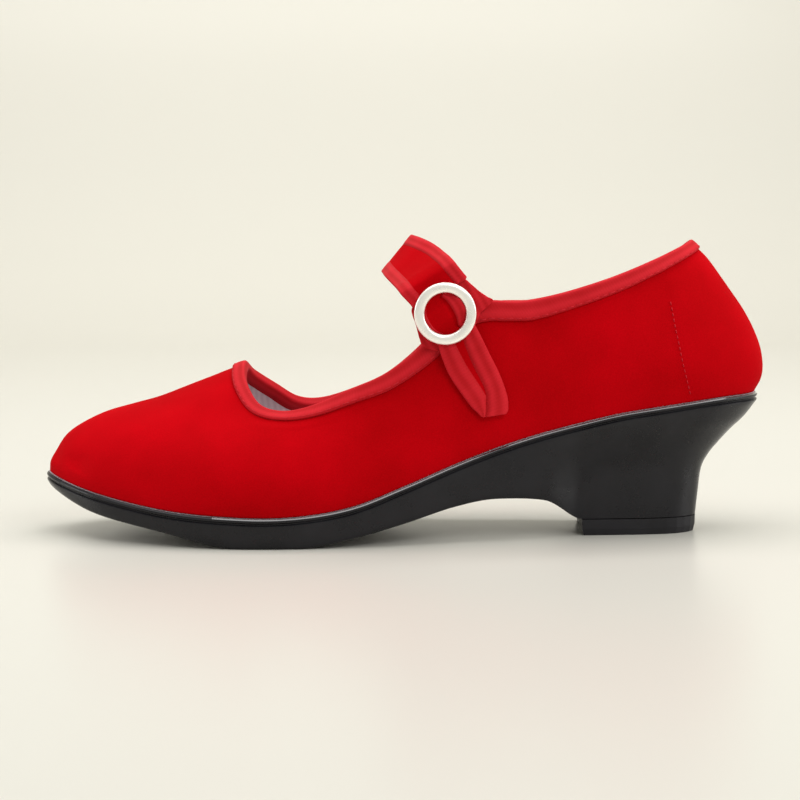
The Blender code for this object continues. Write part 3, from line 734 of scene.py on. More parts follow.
@dataclass
class Wardrobe:
    """All finishes of the shoe, made once."""

    velvet: bpy.types.Material = field(default_factory=lambda: VelvetPile().build())
    tape: bpy.types.Material = field(default_factory=lambda: WovenTape().build())
    sole: bpy.types.Material = field(default_factory=lambda: MouldedSole().build())
    # The lip finish is lighter and glossier than the sole: a painted highlight for the light that
    # catches the lip's rounding.
    lip: bpy.types.Material = field(default_factory=lambda: MouldedSole(
        "sole_lip_painted_highlight", "#1A191C", "#2A282C", gloss=0.14, mirror=0.9, skin=1.0).build())
    tread: bpy.types.Material = field(default_factory=lambda: MouldedSole(
        "ribbed_sole_tread", "#161518", "#222125", gloss=0.5, mirror=0.3, tread_mm=2.4).build())
    lift: bpy.types.Material = field(default_factory=lambda: MouldedSole(
        "hard_lift_rubber", "#1A191C", "#242327", gloss=0.42).build())
    plated: bpy.types.Material = field(default_factory=lambda: PlatedRing().build())
    lining: bpy.types.Material = field(default_factory=lambda: LiningCloth().build())
    sock: bpy.types.Material = field(default_factory=lambda: LiningCloth(
        "insole_sock_cloth", "#D2C4C9", "#BCABB2").build())
    thread: bpy.types.Material = field(default_factory=lambda: SewingThread().build())
    paper: bpy.types.Material = field(default_factory=lambda: StudioPaper().build())


# The shoe's own forms


@dataclass
class Last:
    """The shoe's sizes and the curves that follow from them."""

    length: float = 0.2445
    ball_width: float = 0.080
    heel_height: float = 0.048
    back_height: float = 0.0986
    heel_lift: float = 0.0055
    toe_overhang: float = 0.1232
    wall: float = 0.0018
    gap: float = 0.0003
    lip: float = 0.0010
    wall_bulge: float = 0.0022
    tape_width: float = 0.0053
    tape_room: float = 1.25
    crowd_reach: float = 2.2
    steps: int = 12

    def loop(self, outer: tuple[float, ...], inner: tuple[float, ...],
             steady: bool = False) -> np.ndarray:
        """Values of a pair of table rows at every column."""
        return closed_curve(around(outer, inner), self.steps, steady)

    def along(self, share: np.ndarray | float) -> np.ndarray:
        """Distance along the shoe for a share of its length from the toe."""
        return np.asarray(share) * self.length - self.toe_overhang

    def side_place(self, share: float, rise: float) -> np.ndarray:
        """Side-view position of a share of the length and of the back height."""
        return np.array([float(self.along(share)), rise * self.back_height])

    def feather(self) -> tuple[np.ndarray, np.ndarray, np.ndarray]:
        """Outline of the sole's top edge.

        Returns:
            Plan positions, directions out of the outline, and heights.
        """
        plan = np.stack([self.along(self.loop(FOOTPRINT["share"], FOOTPRINT["share"])),
                         self.loop(tuple(-value for value in FOOTPRINT["outer"]),
                                   FOOTPRINT["inner"]) * self.ball_width], axis=1)
        run = unit(np.roll(plan, -1, axis=0) - np.roll(plan, 1, axis=0))
        out = np.stack([-run[:, 1], run[:, 0]], axis=1)
        height = self.loop(FOOTPRINT["seat"], FOOTPRINT["seat"]) * self.heel_height
        return plan, out, height

    def underside(self) -> np.ndarray:
        """Follow the sole's lower edge.

        Returns:
            Its points at every column.
        """
        foot = (self.heel_lift + self.gap) / self.heel_height
        rise = tuple(foot if value < 0.0 else value for value in UNDERSIDE["rise"])
        lengthwise = self.along(self.loop(UNDERSIDE["share"], UNDERSIDE["inner_share"], True))
        across = self.loop(tuple(-value for value in UNDERSIDE["outer"]),
                           UNDERSIDE["inner"], True) * self.ball_width
        height = self.loop(rise, rise, True) * self.heel_height
        return np.stack([lengthwise, across, height], axis=1)

    def topline(self) -> np.ndarray:
        """Points of the top line at every column."""
        across = self.loop(tuple(-value for value in TOPLINE["outer"]), TOPLINE["inner"])
        rise = self.loop(TOPLINE["outer_rise"], TOPLINE["inner_rise"])
        return np.stack([self.along(self.loop(TOPLINE["outer_share"], TOPLINE["inner_share"])),
                         across * self.ball_width, rise * self.back_height], axis=1)

    def upper_rows(self) -> np.ndarray:
        """Climb from the feather line to the top line.

        The last rows keep the tape's room below the top line, and the row under them is eased
        where they come close together.

        Returns:
            Rows of the upper's outer face.
        """
        plan, out, height = self.feather()
        foot = np.column_stack([plan - out * self.lip, height + self.gap])
        top = self.topline()
        form = self.loop(FOOTPRINT["form"], FOOTPRINT["form"], True)
        rows = []
        for level in range(len(CLIMB["up"][0])):
            inward, up, bulge = (
                np.interp(form, range(4), [row[level] for row in CLIMB[kind]])
                for kind in ("inward", "up", "out"))
            row = foot.copy()
            row[:, :2] += ((top[:, :2] - foot[:, :2]) * inward[:, None]
                           + out * bulge[:, None] * self.wall_bulge)
            row[:, 2] += (top[:, 2] - foot[:, 2]) * up
            rows.append(row)
        fall = unit(rows[-2] - rows[-1])
        rows[-2] = rows[-1] + fall * (self.tape_width * self.tape_room)
        below = np.linalg.norm(rows[-3] - rows[-1], axis=1, keepdims=True)
        crowded = np.clip(self.crowd_reach - below / self.tape_width, 0.0, 1.0)
        rows[-3] = rows[-3] + ((rows[-4] + rows[-2]) / 2.0 - rows[-3]) * crowded
        return np.array(rows)


def directions_out(grid: np.ndarray) -> np.ndarray:
    """Find the directions out of a closed round of rows.

    Args:
        grid: Points as rows, columns and coordinates.

    Returns:
        A direction of length one at each of its points.
    """
    sideways = np.roll(grid, -1, axis=1) - np.roll(grid, 1, axis=1)
    upward = np.empty_like(grid)
    upward[1:-1] = grid[2:] - grid[:-2]
    upward[0] = grid[1] - grid[0]
    upward[-1] = grid[-1] - grid[-2]
    out = unit(np.cross(sideways, upward))
    centre = grid.mean(axis=(0, 1))
    middle = len(grid) // 4
    facing = np.sum(out[middle] * (grid[middle] - centre), axis=1).mean()
    return out if facing > 0.0 else -out


@dataclass(frozen=True)
class Crease:
    """A soft trough or ridge on the upper, laid along points of the side view.

    The line holds shares of the length and of the back height; width and depth are metres,
    and a negative depth is a ridge.
    """

    line: tuple[tuple[float, float], ...]
    width: float
    depth: float
    side: Side = Side.OUTER
    fade_share: float = 0.25
    steps: int = 8

    def push(self, last: Last, points: np.ndarray, out: np.ndarray) -> np.ndarray:
        """How far the crease moves each point along its outward direction.

        Args:
            last: The shoe's sizes.
            points: Points of the upper's outer face.
            out: Their outward directions.

        Returns:
            Metres to move, negative for inwards.
        """
        places = open_curve(np.array([last.side_place(*pair) for pair in self.line]),
                            self.steps)
        flat = points[..., (0, 2)]
        nearest = np.full(flat.shape[:-1], 1e9)
        place = np.zeros(flat.shape[:-1])
        for index, spot in enumerate(places):
            away = np.linalg.norm(flat - spot, axis=-1)
            closer = away < nearest
            nearest = np.where(closer, away, nearest)
            place = np.where(closer, index / (len(places) - 1), place)
        fade = (soft_step(0.0, self.fade_share, place)
                * soft_step(0.0, self.fade_share, 1.0 - place))
        facing = soft_step(0.05, 0.5, out[..., 1] * self.side.value)
        return -self.depth * np.exp(-0.5 * (nearest / self.width) ** 2) * fade * facing


@dataclass
class Upper:
    """The velvet upper with its lining: one folded wall from feather line to top line."""

    last: Last
    wardrobe: Wardrobe
    row_steps: int = 6
    unevenness: float = 0.00022
    broad_waves: float = 38.0
    small_waves: float = 110.0
    seam_raise: float = 0.00035
    seam_fade: float = 0.05
    seam_rises: tuple[float, float, int] = (0.50, 0.80, 40)
    seam: tuple[tuple[float, float], ...] = (
        (0.48, 0.886), (0.52, 0.881), (0.60, 0.872), (0.72, 0.862), (0.80, 0.857), (0.93, 0.853))
    creases: tuple[Crease, ...] = (
        Crease(((0.029, 0.440), (0.018, 0.330), (0.012, 0.235)), 0.0011, 0.0007),
        Crease(((0.010, 0.300), (0.009, 0.255), (0.011, 0.215)), 0.0009, -0.0007),
        Crease(((0.046, 0.290), (0.050, 0.255), (0.046, 0.228)), 0.0022, 0.0007),
        Crease(((0.06, 0.395), (0.12, 0.420), (0.19, 0.440)), 0.0022, -0.00025),
        Crease(((0.63, 0.70), (0.70, 0.66), (0.78, 0.68)), 0.007, 0.0005),
        Crease(((0.40, 0.40), (0.47, 0.42), (0.54, 0.50)), 0.008, 0.0005),
        Crease(((0.20, 0.30), (0.28, 0.27), (0.36, 0.27)), 0.009, -0.0004),
    )

    def seam_share(self, rise: np.ndarray) -> np.ndarray:
        """Share of the length at which the stiffener's seam lies, for a share of the height."""
        return np.interp(rise, *zip(*self.seam))

    def seam_push(self, points: np.ndarray) -> np.ndarray:
        """Raise the upper behind the edge of the heel stiffener, as a soft step.

        Args:
            points: Points of the upper's outer face.

        Returns:
            Metres to move outwards.
        """
        edge = self.seam_share(points[..., 2] / self.last.back_height)
        behind = (points[..., 0] + self.last.toe_overhang) / self.last.length - edge
        step = soft_step(-0.004, 0.002, behind) * np.exp(
            -np.clip(behind, 0.0, 1.0) / self.seam_fade)
        return self.seam_raise * step

    def seam_line(self, made: bpy.types.Object, side: Side) -> np.ndarray:
        """Lay the path of the stitches along the stiffener's seam.

        Args:
            made: The made upper.
            side: The side of the shoe.

        Returns:
            The path's points.
        """
        rises = np.linspace(*self.seam_rises)
        places = np.array([self.last.side_place(share, rise)
                           for share, rise in zip(self.seam_share(rises), rises)])
        return on_surface(made, places, side, 0.00008)

    def push(self, rows: np.ndarray, out: np.ndarray) -> np.ndarray:
        """Work out how far creases, seam and unevenness move the outer face.

        Args:
            rows: Points of the outer face.
            out: Their outward directions.

        Returns:
            Metres to move each point outwards, 0 at the feather line and under the tape.
        """
        push = self.seam_push(rows)
        for crease in self.creases:
            push = push + crease.push(self.last, rows, out)
        for row in range(len(rows)):
            for column in range(rows.shape[1]):
                spot = Vector(rows[row, column])
                push[row, column] += self.unevenness * noise.noise(spot * self.broad_waves)
                push[row, column] += self.unevenness * 0.5 * noise.noise(
                    spot * self.small_waves)
        from_foot = np.linalg.norm(rows - rows[0], axis=-1)
        from_top = np.linalg.norm(rows - rows[-1], axis=-1)
        push *= soft_step(0.0005, 0.004, from_foot)
        return push * soft_step(self.last.tape_width, self.last.tape_width + 0.003, from_top)

    def build(self) -> bpy.types.Object:
        """Make the upper.

        Returns:
            The finished piece, standing for the CAD upper.
        """
        rows = open_curve(self.last.upper_rows(), self.row_steps)
        out = directions_out(rows)
        out[0] = unit(out[0] * (1.0, 1.0, 0.0))
        outside = rows + out * self.push(rows, out)[..., None]
        inside = (rows - out * self.last.wall)[::-2]
        grid = np.concatenate([outside, inside])
        across = run_length(rows[len(rows) // 2], True)
        along = run_length(grid[:, grid.shape[1] // 4], True)
        made = grid_object("upper_velvet", grid, True, True, across, along)
        face_out(made)
        made.data.materials.append(self.wardrobe.velvet)
        made.data.materials.append(self.wardrobe.lining)
        lining_start = len(outside) * rows.shape[1]
        marks = np.zeros(len(made.data.polygons), dtype=np.int32)
        marks[lining_start:] = 1
        made.data.polygons.foreach_set("material_index", marks)
        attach(made, BODY)
        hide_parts("upper")
        return made


@dataclass
class Binding:
    """Woven tape folded over the whole top line, wide behind the buckle, narrow in front.

    The widths hold a share of the shoe's length and the share of the tape's width seen there.
    """

    last: Last
    wardrobe: Wardrobe
    thickness: float = 0.0007
    crown: float = 0.00012
    fold_steps: int = 8
    stitch_depth: float = 0.88
    widths: tuple[tuple[float, float], ...] = (
        (0.28, 0.68), (0.36, 0.78), (0.44, 0.87), (0.52, 1.0), (0.60, 1.16), (0.66, 1.06),
        (0.72, 0.92), (0.78, 0.83), (0.84, 0.73), (0.88, 0.66), (0.92, 0.58))

    def frame(self) -> Frames:
        """Find how the tape lies on the top line.

        Returns:
            The top line, its outward and downward directions, and the tape's slanted reach.
        """
        rows = self.last.upper_rows()
        out = directions_out(rows[-2:])[-1]
        down = unit(rows[-2] - rows[-1])
        run = unit(np.roll(rows[-1], -1, axis=0) - np.roll(rows[-1], 1, axis=0))
        slant = np.linalg.norm(np.cross(run, down), axis=1, keepdims=True)
        centre = rows[-1].mean(axis=0)
        if np.sum(out * (rows[-1] - centre), axis=1).mean() < 0.0:
            out = -out
        share = (rows[-1][:, :1] + self.last.toe_overhang) / self.last.length
        cut = np.interp(share, *zip(*self.widths))
        return rows[-1], out, down, self.last.tape_width * cut / np.clip(slant, 0.85, 1.0)

    def section(self) -> np.ndarray:
        """Draw the outline of the folded tape.

        Returns:
            Rows of outwards, down as a share of the tape's width, and upwards.
        """
        gap, thick, wall = self.last.gap, self.thickness, self.last.wall
        near = gap + thick
        outline: list[tuple[float, float, float]] = []
        for deep in (1.0, 0.85, 0.7, 0.5, 0.3, 0.12):
            outline.append((near + self.crown * math.sin(math.pi * deep), deep, 0.0))
        for step in range(self.fold_steps + 1):
            turn = math.pi * step / self.fold_steps
            reach = wall / 2.0 + near
            outline.append((-wall / 2.0 + reach * math.cos(turn), 0.0,
                            (gap + thick) * math.sin(turn) ** 0.8))
        for deep in (0.3, 0.65, 1.0):
            outline.append((-wall - near, deep, 0.0))
        outline += [(-wall - gap * 0.4, 1.02, 0.0), (-wall - gap * 0.4, 0.4, 0.0),
                    (-wall - gap * 0.4, 0.0, gap * 0.5), (gap * 0.3, 0.0, gap * 0.5),
                    (gap * 0.3, 0.4, 0.0), (gap * 0.2, 1.02, 0.0)]
        return np.array(outline)

    def build(self) -> bpy.types.Object:
        """Make the binding.

        Returns:
            The finished piece, standing for the CAD binding.
        """
        top, out, down, reach = self.frame()
        section = self.section()
        ripple = np.array([noise.noise(Vector(point) * 160.0) for point in top])[:, None]
        grid = np.array([top + out * (aside + (self.crown * deep) * ripple)
                         + down * reach * deep * (1.0 + 0.02 * ripple) - down * over
                         for aside, deep, over in section])
        across = run_length(top, True)
        along = run_length(grid[:, 0], True)
        made = grid_object("binding_tape", grid, True, True, across, along)
        face_out(made)
        made.data.materials.append(self.wardrobe.tape)
        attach(made, BODY)
        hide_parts("topline_binding")
        return made

    def stitch_line(self) -> np.ndarray:
        """Points of a row of stitches low on the tape's outer face."""
        top, out, down, reach = self.frame()
        return (top + out * (self.last.gap + self.thickness)
                + down * reach * self.stitch_depth)


@dataclass
class SoleUnit:
    """The moulded sole and heel in one, with its lip, groove and side."""

    last: Last
    wardrobe: Wardrobe
    lip_steps: tuple[tuple[float, float], ...] = (
        (0.0008, 0.0), (0.00064, 0.00004), (0.00052, 0.00013), (0.00013, 0.00052),
        (0.00003, 0.00066), (0.0, 0.0009), (0.00012, 0.00125), (0.00045, 0.0015),
        (0.0007, 0.0017), (0.0007, 0.00195), (0.00042, 0.0021), (0.00014, 0.0023),
        (0.0001, 0.0026))
    # Rows and start of the lip's painted highlight: lighter, glossier faces laid from the ball
    # back, where the light catches the lip.
    highlight_rows: tuple[int, int] = (1, 3)
    highlight_from: float = 0.235
    side_steps: int = 4
    crease_angle: float = math.radians(40.0)
    block_fall: tuple[tuple[float, float], ...] = (
        (0.20, 0.14), (0.42, 0.25), (0.64, 0.375), (0.80, 0.48), (0.91, 0.60), (0.96, 0.80),
        (1.0, 1.0))
    edge_fall: tuple[tuple[float, float], ...] = (
        (0.05, 0.20), (0.12, 0.40), (0.20, 0.58), (0.32, 0.74), (0.48, 0.87), (0.70, 0.96),
        (1.0, 1.0))

    def rings(self) -> np.ndarray:
        """Step from the lip down to the lower edge.

        Returns:
            The rings of points.
        """
        plan, out, height = self.last.feather()
        rings = [np.column_stack([plan - out * inset, height - drop])
                 for inset, drop in self.lip_steps]
        foot = self.last.underside()
        block = self.last.loop(UNDERSIDE["block"], UNDERSIDE["block"], True)[:, None]
        start = rings[-1]
        side = [start]
        for block_step, edge_step in zip(self.block_fall, self.edge_fall):
            mixed = np.array(block_step) * block + np.array(edge_step) * (1.0 - block)
            ring = start.copy()
            ring[:, :2] += (foot[:, :2] - start[:, :2]) * mixed[:, :1]
            ring[:, 2] += (foot[:, 2] - start[:, 2]) * mixed[:, 1]
            side.append(ring)
        return np.concatenate([np.array(rings[:-1]), open_curve(np.array(side), self.side_steps)])

    def build(self) -> bpy.types.Object:
        """Make the sole unit.

        Returns:
            The finished piece, standing for the CAD sole unit.
        """
        grid = self.rings()
        count = grid.shape[1]
        across = run_length(grid[0], True)
        along = run_length(grid[:, 0], False)
        made = grid_object("sole_moulding", grid, True, False, across, along)
        cap_rungs(made, 0, count)
        cap_rungs(made, (len(grid) - 1) * count, count)
        face_out(made)
        made.data.set_sharp_from_angle(angle=self.crease_angle)
        for finish in (self.wardrobe.sole, self.wardrobe.lip, self.wardrobe.tread,
                       self.wardrobe.sock):
            made.data.materials.append(finish)
        marks = np.zeros(len(made.data.polygons), dtype=np.int32)
        # Painted highlight: the lip's face from the ball back takes the lighter, glossier finish,
        # and the toe's lip stays plain because the light misses it there.
        highlit = grid[0, :, 0] > self.highlight_from * self.last.length - self.last.toe_overhang
        for row in range(*self.highlight_rows):
            marks[row * count:(row + 1) * count] = highlit * SoleFace.LIP.value
        cap = count // 2
        marks[-2 * cap:-cap] = SoleFace.SOCK.value
        marks[-cap:] = SoleFace.TREAD.value
        made.data.polygons.foreach_set("material_index", marks)
        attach(made, BODY)
        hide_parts("sole_unit")
        return made


def on_surface(item: bpy.types.Object, places: np.ndarray, side: Side,
               lift: float) -> np.ndarray:
    """Lay side-view places on a piece's outer face.

    Args:
        item: The piece that they lie on.
        places: Side-view positions in metres.
        side: The side of the shoe they are looked up from.
        lift: How far they stand off the face.

    Returns:
        The points on the face.
    """
    tree = BVHTree.FromPolygons([vertex.co.copy() for vertex in item.data.vertices],
                                [tuple(face.vertices) for face in item.data.polygons])
    points = []
    for x, z in places:
        hit, normal = tree.ray_cast(Vector((x, side.value, z)), Vector((0.0, -side.value, 0.0)))[:2]
        if hit is not None:
            points.append(hit + normal * lift)
    return np.array(points)


@dataclass
class Insole:
    """The lining cloth on the insole board."""

    wardrobe: Wardrobe

    def build(self) -> bpy.types.Object:
        """Copy the CAD insole, smooth it and dress it in sock cloth.

        Returns:
            The finished piece, standing for the CAD insole.
        """
        made = copy_node("insole", "insole_cloth")
        smooth = made.modifiers.new("Soft", "SUBSURF")
        smooth.subdivision_type = "SIMPLE"
        smooth.levels = smooth.render_levels = 1
        made.data.materials.clear()
        made.data.materials.append(self.wardrobe.sock)
        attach(made, BODY)
        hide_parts("insole")
        return made


def copy_node(node: str, name: str) -> bpy.types.Object:
    """Copy a CAD node's mesh to a new object with its doubles merged.

    Args:
        node: Name of the CAD node.
        name: Name of the new object.

    Returns:
        The linked copy.
    """
    mesh = CAD_NODES[node].data.copy()
    work = bmesh.new()
    work.from_mesh(mesh)
    bmesh.ops.remove_doubles(work, verts=work.verts, dist=0.00001)
    bmesh.ops.recalc_face_normals(work, faces=work.faces)
    work.to_mesh(mesh)
    work.free()
    made = bpy.data.objects.new(name, mesh)
    bpy.context.scene.collection.objects.link(made)
    mesh.shade_smooth()
    mesh.set_sharp_from_angle(angle=math.radians(35.0))
    return made


class Skin:
    """Outer faces of CAD nodes that soft pieces lie on, looked up from the side."""

    def __init__(self, nodes: tuple[str, ...], last: Last) -> None:
        """Gather the faces of the nodes.

        Args:
            nodes: Names of the CAD nodes.
            last: The shoe's sizes.
        """
        points: list[Vector] = []
        faces: list[list[int]] = []
        for node in nodes:
            start = len(points)
            mesh = CAD_NODES[node].data
            points += [vertex.co.copy() for vertex in mesh.vertices]
            faces += [[start + index for index in polygon.vertices] for polygon in mesh.polygons]
        self.tree = BVHTree.FromPolygons(points, faces)
        self.last = last

    def reach(self, x: float, z: float, side: float, spread: float) -> float:
        """Find the furthest reach to a side near one side-view position.

        Args:
            x: Position along the shoe.
            z: Height.
            side: Sign of the side.
            spread: How far round the position it looks.

        Returns:
            Metres from the middle plane, 0 where nothing is there.
        """
        found = 0.0
        for step_x in (-1.0, 0.0, 1.0):
            for step_z in (-1.0, 0.0, 1.0):
                start = Vector((x + step_x * spread, side * self.last.ball_width,
                                z + step_z * spread))
                hit = self.tree.ray_cast(start, Vector((0.0, -side, 0.0)))[0]
                if hit is not None and hit.y * side > 0.0:
                    found = max(found, hit.y * side)
        return found


@dataclass
class RingBuckle:
    """The plated ring with its low bar."""

    last: Last
    wardrobe: Wardrobe
    diameter: float = 0.0203
    band: float = 0.0033
    thick: float = 0.0018
    bar_thick: float = 0.0012
    place: tuple[float, float] = (0.5445, 0.775)
    lean: float = math.radians(60.0)
    bar_half: float = 0.0008
    facets: int = 96
    band_facets: int = 20
    crease_angle: float = math.radians(50.0)

    @property
    def radius(self) -> float:
        """Outer radius of the ring."""
        return self.diameter / 2.0

    def axes(self) -> tuple[np.ndarray, np.ndarray, np.ndarray]:
        """Centre in side view, the strap's run through the ring, and the bar's run."""
        run = np.array([math.cos(self.lean), -math.sin(self.lean)])
        bar = np.array([math.sin(self.lean), math.cos(self.lean)])
        return self.last.side_place(*self.place), run, bar

    def ring(self, back: float) -> bpy.types.Object:
        """Sweep the rounded band round the centre.

        Args:
            back: Depth of the band's face towards the shoe.

        Returns:
            The ring without its bar.
        """
        centre, run, bar = self.axes()
        inner = self.radius - self.band
        outline: list[tuple[float, float]] = []
        for step in range(self.band_facets):
            turn = math.tau * step / self.band_facets
            wide = math.copysign(abs(math.cos(turn)) ** 0.7, math.cos(turn))
            tall = math.copysign(abs(math.sin(turn)) ** 0.8, math.sin(turn))
            outline.append((inner + self.band * (0.5 + 0.5 * wide), back
                            + self.thick * (0.5 + 0.5 * tall)))
        grid = np.empty((self.facets, len(outline), 3))
        for step in range(self.facets):
            turn = math.tau * step / self.facets
            spoke = math.cos(turn) * run + math.sin(turn) * bar
            for index, (radius, depth) in enumerate(outline):
                spot = centre + spoke * radius
                grid[step, index] = (spot[0], -depth, spot[1])
        made = grid_object("ring_plated", grid, True, True,
                           np.linspace(0.0, 1.0, len(outline) + 1),
                           np.linspace(0.0, 1.0, self.facets + 1))
        face_out(made)
        return made

    def low_bar(self, back: float, bar_back: float) -> bpy.types.Object:
        """Make the bar under the ring with its two posts.

        Args:
            back: Depth of the band's face towards the shoe.
            bar_back: Depth of the bar's face towards the shoe.

        Returns:
            The bar and its posts in one closed piece.
        """
        centre, run, bar = self.axes()
        post_in, post_out = self.radius - self.band * 0.8, self.radius - self.band * 0.2
        post_top, bar_front = back + self.thick * 0.5, bar_back + self.bar_thick
        section = ((-post_out, post_top), (-post_out, bar_back), (post_out, bar_back),
                   (post_out, post_top), (post_in, post_top), (post_in, bar_front),
                   (-post_in, bar_front), (-post_in, post_top))
        bridge = np.empty((2, len(section), 3))
        for end, side in enumerate((-self.bar_half, self.bar_half)):
            for index, (reach, depth) in enumerate(section):
                spot = centre + bar * reach + run * side
                bridge[end, index] = (spot[0], -depth, spot[1])
        made = grid_object("bar_low", bridge, True, False,
                           np.linspace(0.0, 1.0, len(section) + 1), np.linspace(0.0, 1.0, 2))
        cap_ends(made, len(section), 2)
        face_out(made)
        return made

    def build(self) -> bpy.types.Object:
        """Make the ring and its low bar, and join them.

        Returns:
            The finished piece, standing for the CAD ring.
        """
        low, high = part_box("ring_buckle")
        back = -low[1] - self.thick
        made = self.ring(back)
        lower = self.low_bar(back, -high[1])
        mesh = made.data
        both = bmesh.new()
        for source in (mesh, lower.data):
            both.from_mesh(source)
        both.to_mesh(mesh)
        both.free()
        bpy.data.objects.remove(lower, do_unlink=True)
        mesh.shade_smooth()
        mesh.set_sharp_from_angle(angle=self.crease_angle)
        mesh.materials.clear()
        mesh.materials.append(self.wardrobe.plated)
        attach(made, BODY)
        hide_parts("ring_buckle")
        return made


@dataclass
class Strap:
    """Velvet strap edged with tape, from the inner side over the instep and through the ring."""

    last: Last
    wardrobe: Wardrobe
    buckle: RingBuckle
    thickness: float = 0.0013
    tape_width: float = 0.0045
    wedge: float = 0.0014
    wedge_rows: tuple[float, float] = (14.0, 20.6)
    drawn_rows: tuple[int, int, int, int] = (3, 5, 12, 14)
    fold_share: float = 0.33
    fold_width: float = 0.11
    overlap: float = 0.0005
    proud: float = 0.14
    tape_rim: float = 0.0002
    core_columns: int = 33
    row_steps: int = 5
    tape_section: tuple[tuple[float, float], ...] = (
        (1.0, 0.80), (0.75, 0.98), (0.4, 1.0), (0.08, 0.9), (0.0, 0.45), (0.0, -0.45),
        (0.08, -0.9), (0.4, -1.0), (1.0, -0.98), (1.0, -0.55), (0.5, -0.55), (0.5, 0.55),
        (1.0, 0.55))

    def levels(self) -> tuple[float, float]:
        """Side reach of the strap's middle under the ring and over the bar."""
        bar_back = -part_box("ring_buckle")[1][1]
        low = bar_back + self.thickness / 2.0
        high = bar_back + self.buckle.bar_thick + self.last.gap + self.thickness / 2.0
        return low, high

    def spine(self) -> np.ndarray:
        """Lay the strap over the instep, through the ring and down to its tip.

        Returns:
            Front and rear edge of the strap's middle face at every row.
        """
        skin = Skin(("upper", "topline_binding", "buckle_tab"), self.last)
        spread = self.last.tape_width * 0.55
        cover = self.thickness / 2.0 + 2.0 * self.last.gap
        centre, run, bar = self.buckle.axes()
        low, high = self.levels()
        radius = self.buckle.radius
        edges = []
        for front_share, front_rise, rear_share, rear_rise, side_share in STRAP_ROWS:
            side = math.copysign(1.0, side_share)
            reach = abs(side_share) * self.last.ball_width
            pair = []
            for spot in (self.last.side_place(front_share, front_rise),
                         self.last.side_place(rear_share, rear_rise)):
                under = skin.reach(spot[0], spot[1], side, spread)
                out = max(reach, under + cover if under else 0.0)
                pair.append((spot[0], side * out, spot[1]))
            edges.append(pair)
        for ahead, aside, width, lift in THREAD_ROWS:
            middle = centre + (run * ahead + bar * aside) * radius
            half = bar * width * radius / 2.0
            edges.append([(spot[0], -(low + (high - low) * lift), spot[1])
                          for spot in (middle - half, middle + half)])
        for ahead, aside, width, skew in TAIL_ROWS:
            middle = centre + (run * ahead + bar * aside) * radius
            half = (bar * width / 2.0 + run * skew) * radius
            edges.append([(spot[0], -(skin.reach(spot[0], spot[1], -1.0, spread) + cover),
                           spot[1]) for spot in (middle - half, middle + half)])
        return open_curve(np.array(edges), self.row_steps, True)

    def frames(self) -> Frames:
        """Work out how the strap turns along its way.

        Returns:
            Its middle line, width directions, outward directions and half widths.
        """
        edges = self.spine()
        middle = edges.mean(axis=1)
        run = np.gradient(middle, axis=0)
        across = edges[:, 1] - edges[:, 0]
        out = unit(np.cross(across, run))
        if out[len(out) // 4][2] < 0.0:
            out = -out
        return middle, unit(across), out, np.linalg.norm(across, axis=1) / 2.0

    def thread_rows(self, count: int) -> np.ndarray:
        """Place of every fine row, counted in table rows from the first one at the ring."""
        return np.arange(count) / self.row_steps - len(STRAP_ROWS)

    def drawn(self, count: int) -> np.ndarray:
        """How far the strap is drawn together by the ring at every row, 0 to 1."""
        rows = self.thread_rows(count)
        start, full, last_full, end = self.drawn_rows
        return soft_step(start, full, rows) * (1.0 - soft_step(last_full, end, rows))

    def tape_widths(self, side: float, half: np.ndarray) -> np.ndarray:
        """Width of one tape edge at every row of the strap.

        Args:
            side: -1 for the front edge, 1 for the rear one.
            half: Half widths of the strap.

        Returns:
            Metres: narrow inside the ring, and closing over the velvet towards the tip.
        """
        rows = self.thread_rows(len(half))
        drawn = self.drawn(len(half))
        start, end = self.wedge_rows
        bare = self.wedge * (1.0 - np.clip((rows - start) / (end - start), 0.0, 1.0))
        tail = soft_step(start - 1.0, start, rows)
        over = side * half * np.clip((rows - end) / (rows[-1] - end), 0.0, 0.94)
        wide = self.tape_width * (1.0 - tail) + (half - bare + over) * tail
        wide += self.overlap * soft_step(end - 1.0, end, rows) * (side > 0.0)
        inside = half * (0.16 if side < 0.0 else 0.62)
        return np.minimum(wide * (1.0 - drawn) + inside * drawn, half * 1.96)

    def core(self, way: Frames) -> bpy.types.Object:
        """Make the velvet body, with its fold inside the ring.

        Args:
            way: The strap's middle line, directions and half widths.

        Returns:
            The velvet piece.
        """
        middle, across, out, half = way
        drawn = self.drawn(len(half))
        columns = []
        for face in (1.0, -1.0):
            for step in range(self.core_columns):
                share = (-1.0 + 2.0 * step / (self.core_columns - 1)) * face
                crown = np.full(len(half), 0.62 + 0.2 * (1.0 - share * share))
                if face > 0.0:
                    crown -= drawn * math.exp(
                        -((share - self.fold_share) / self.fold_width) ** 2)
                columns.append(middle + across * (half * 0.97 * share)[:, None]
                               + out * (self.thickness / 2.0 * face * crown)[:, None])
        grid = np.array(columns).transpose(1, 0, 2)
        made = grid_object("strap_velvet", grid, True, False,
                           run_length(grid[0], True), run_length(middle, False))
        cap_ends(made, grid.shape[1], grid.shape[0])
        face_out(made)
        made.data.materials.append(self.wardrobe.velvet)
        return made

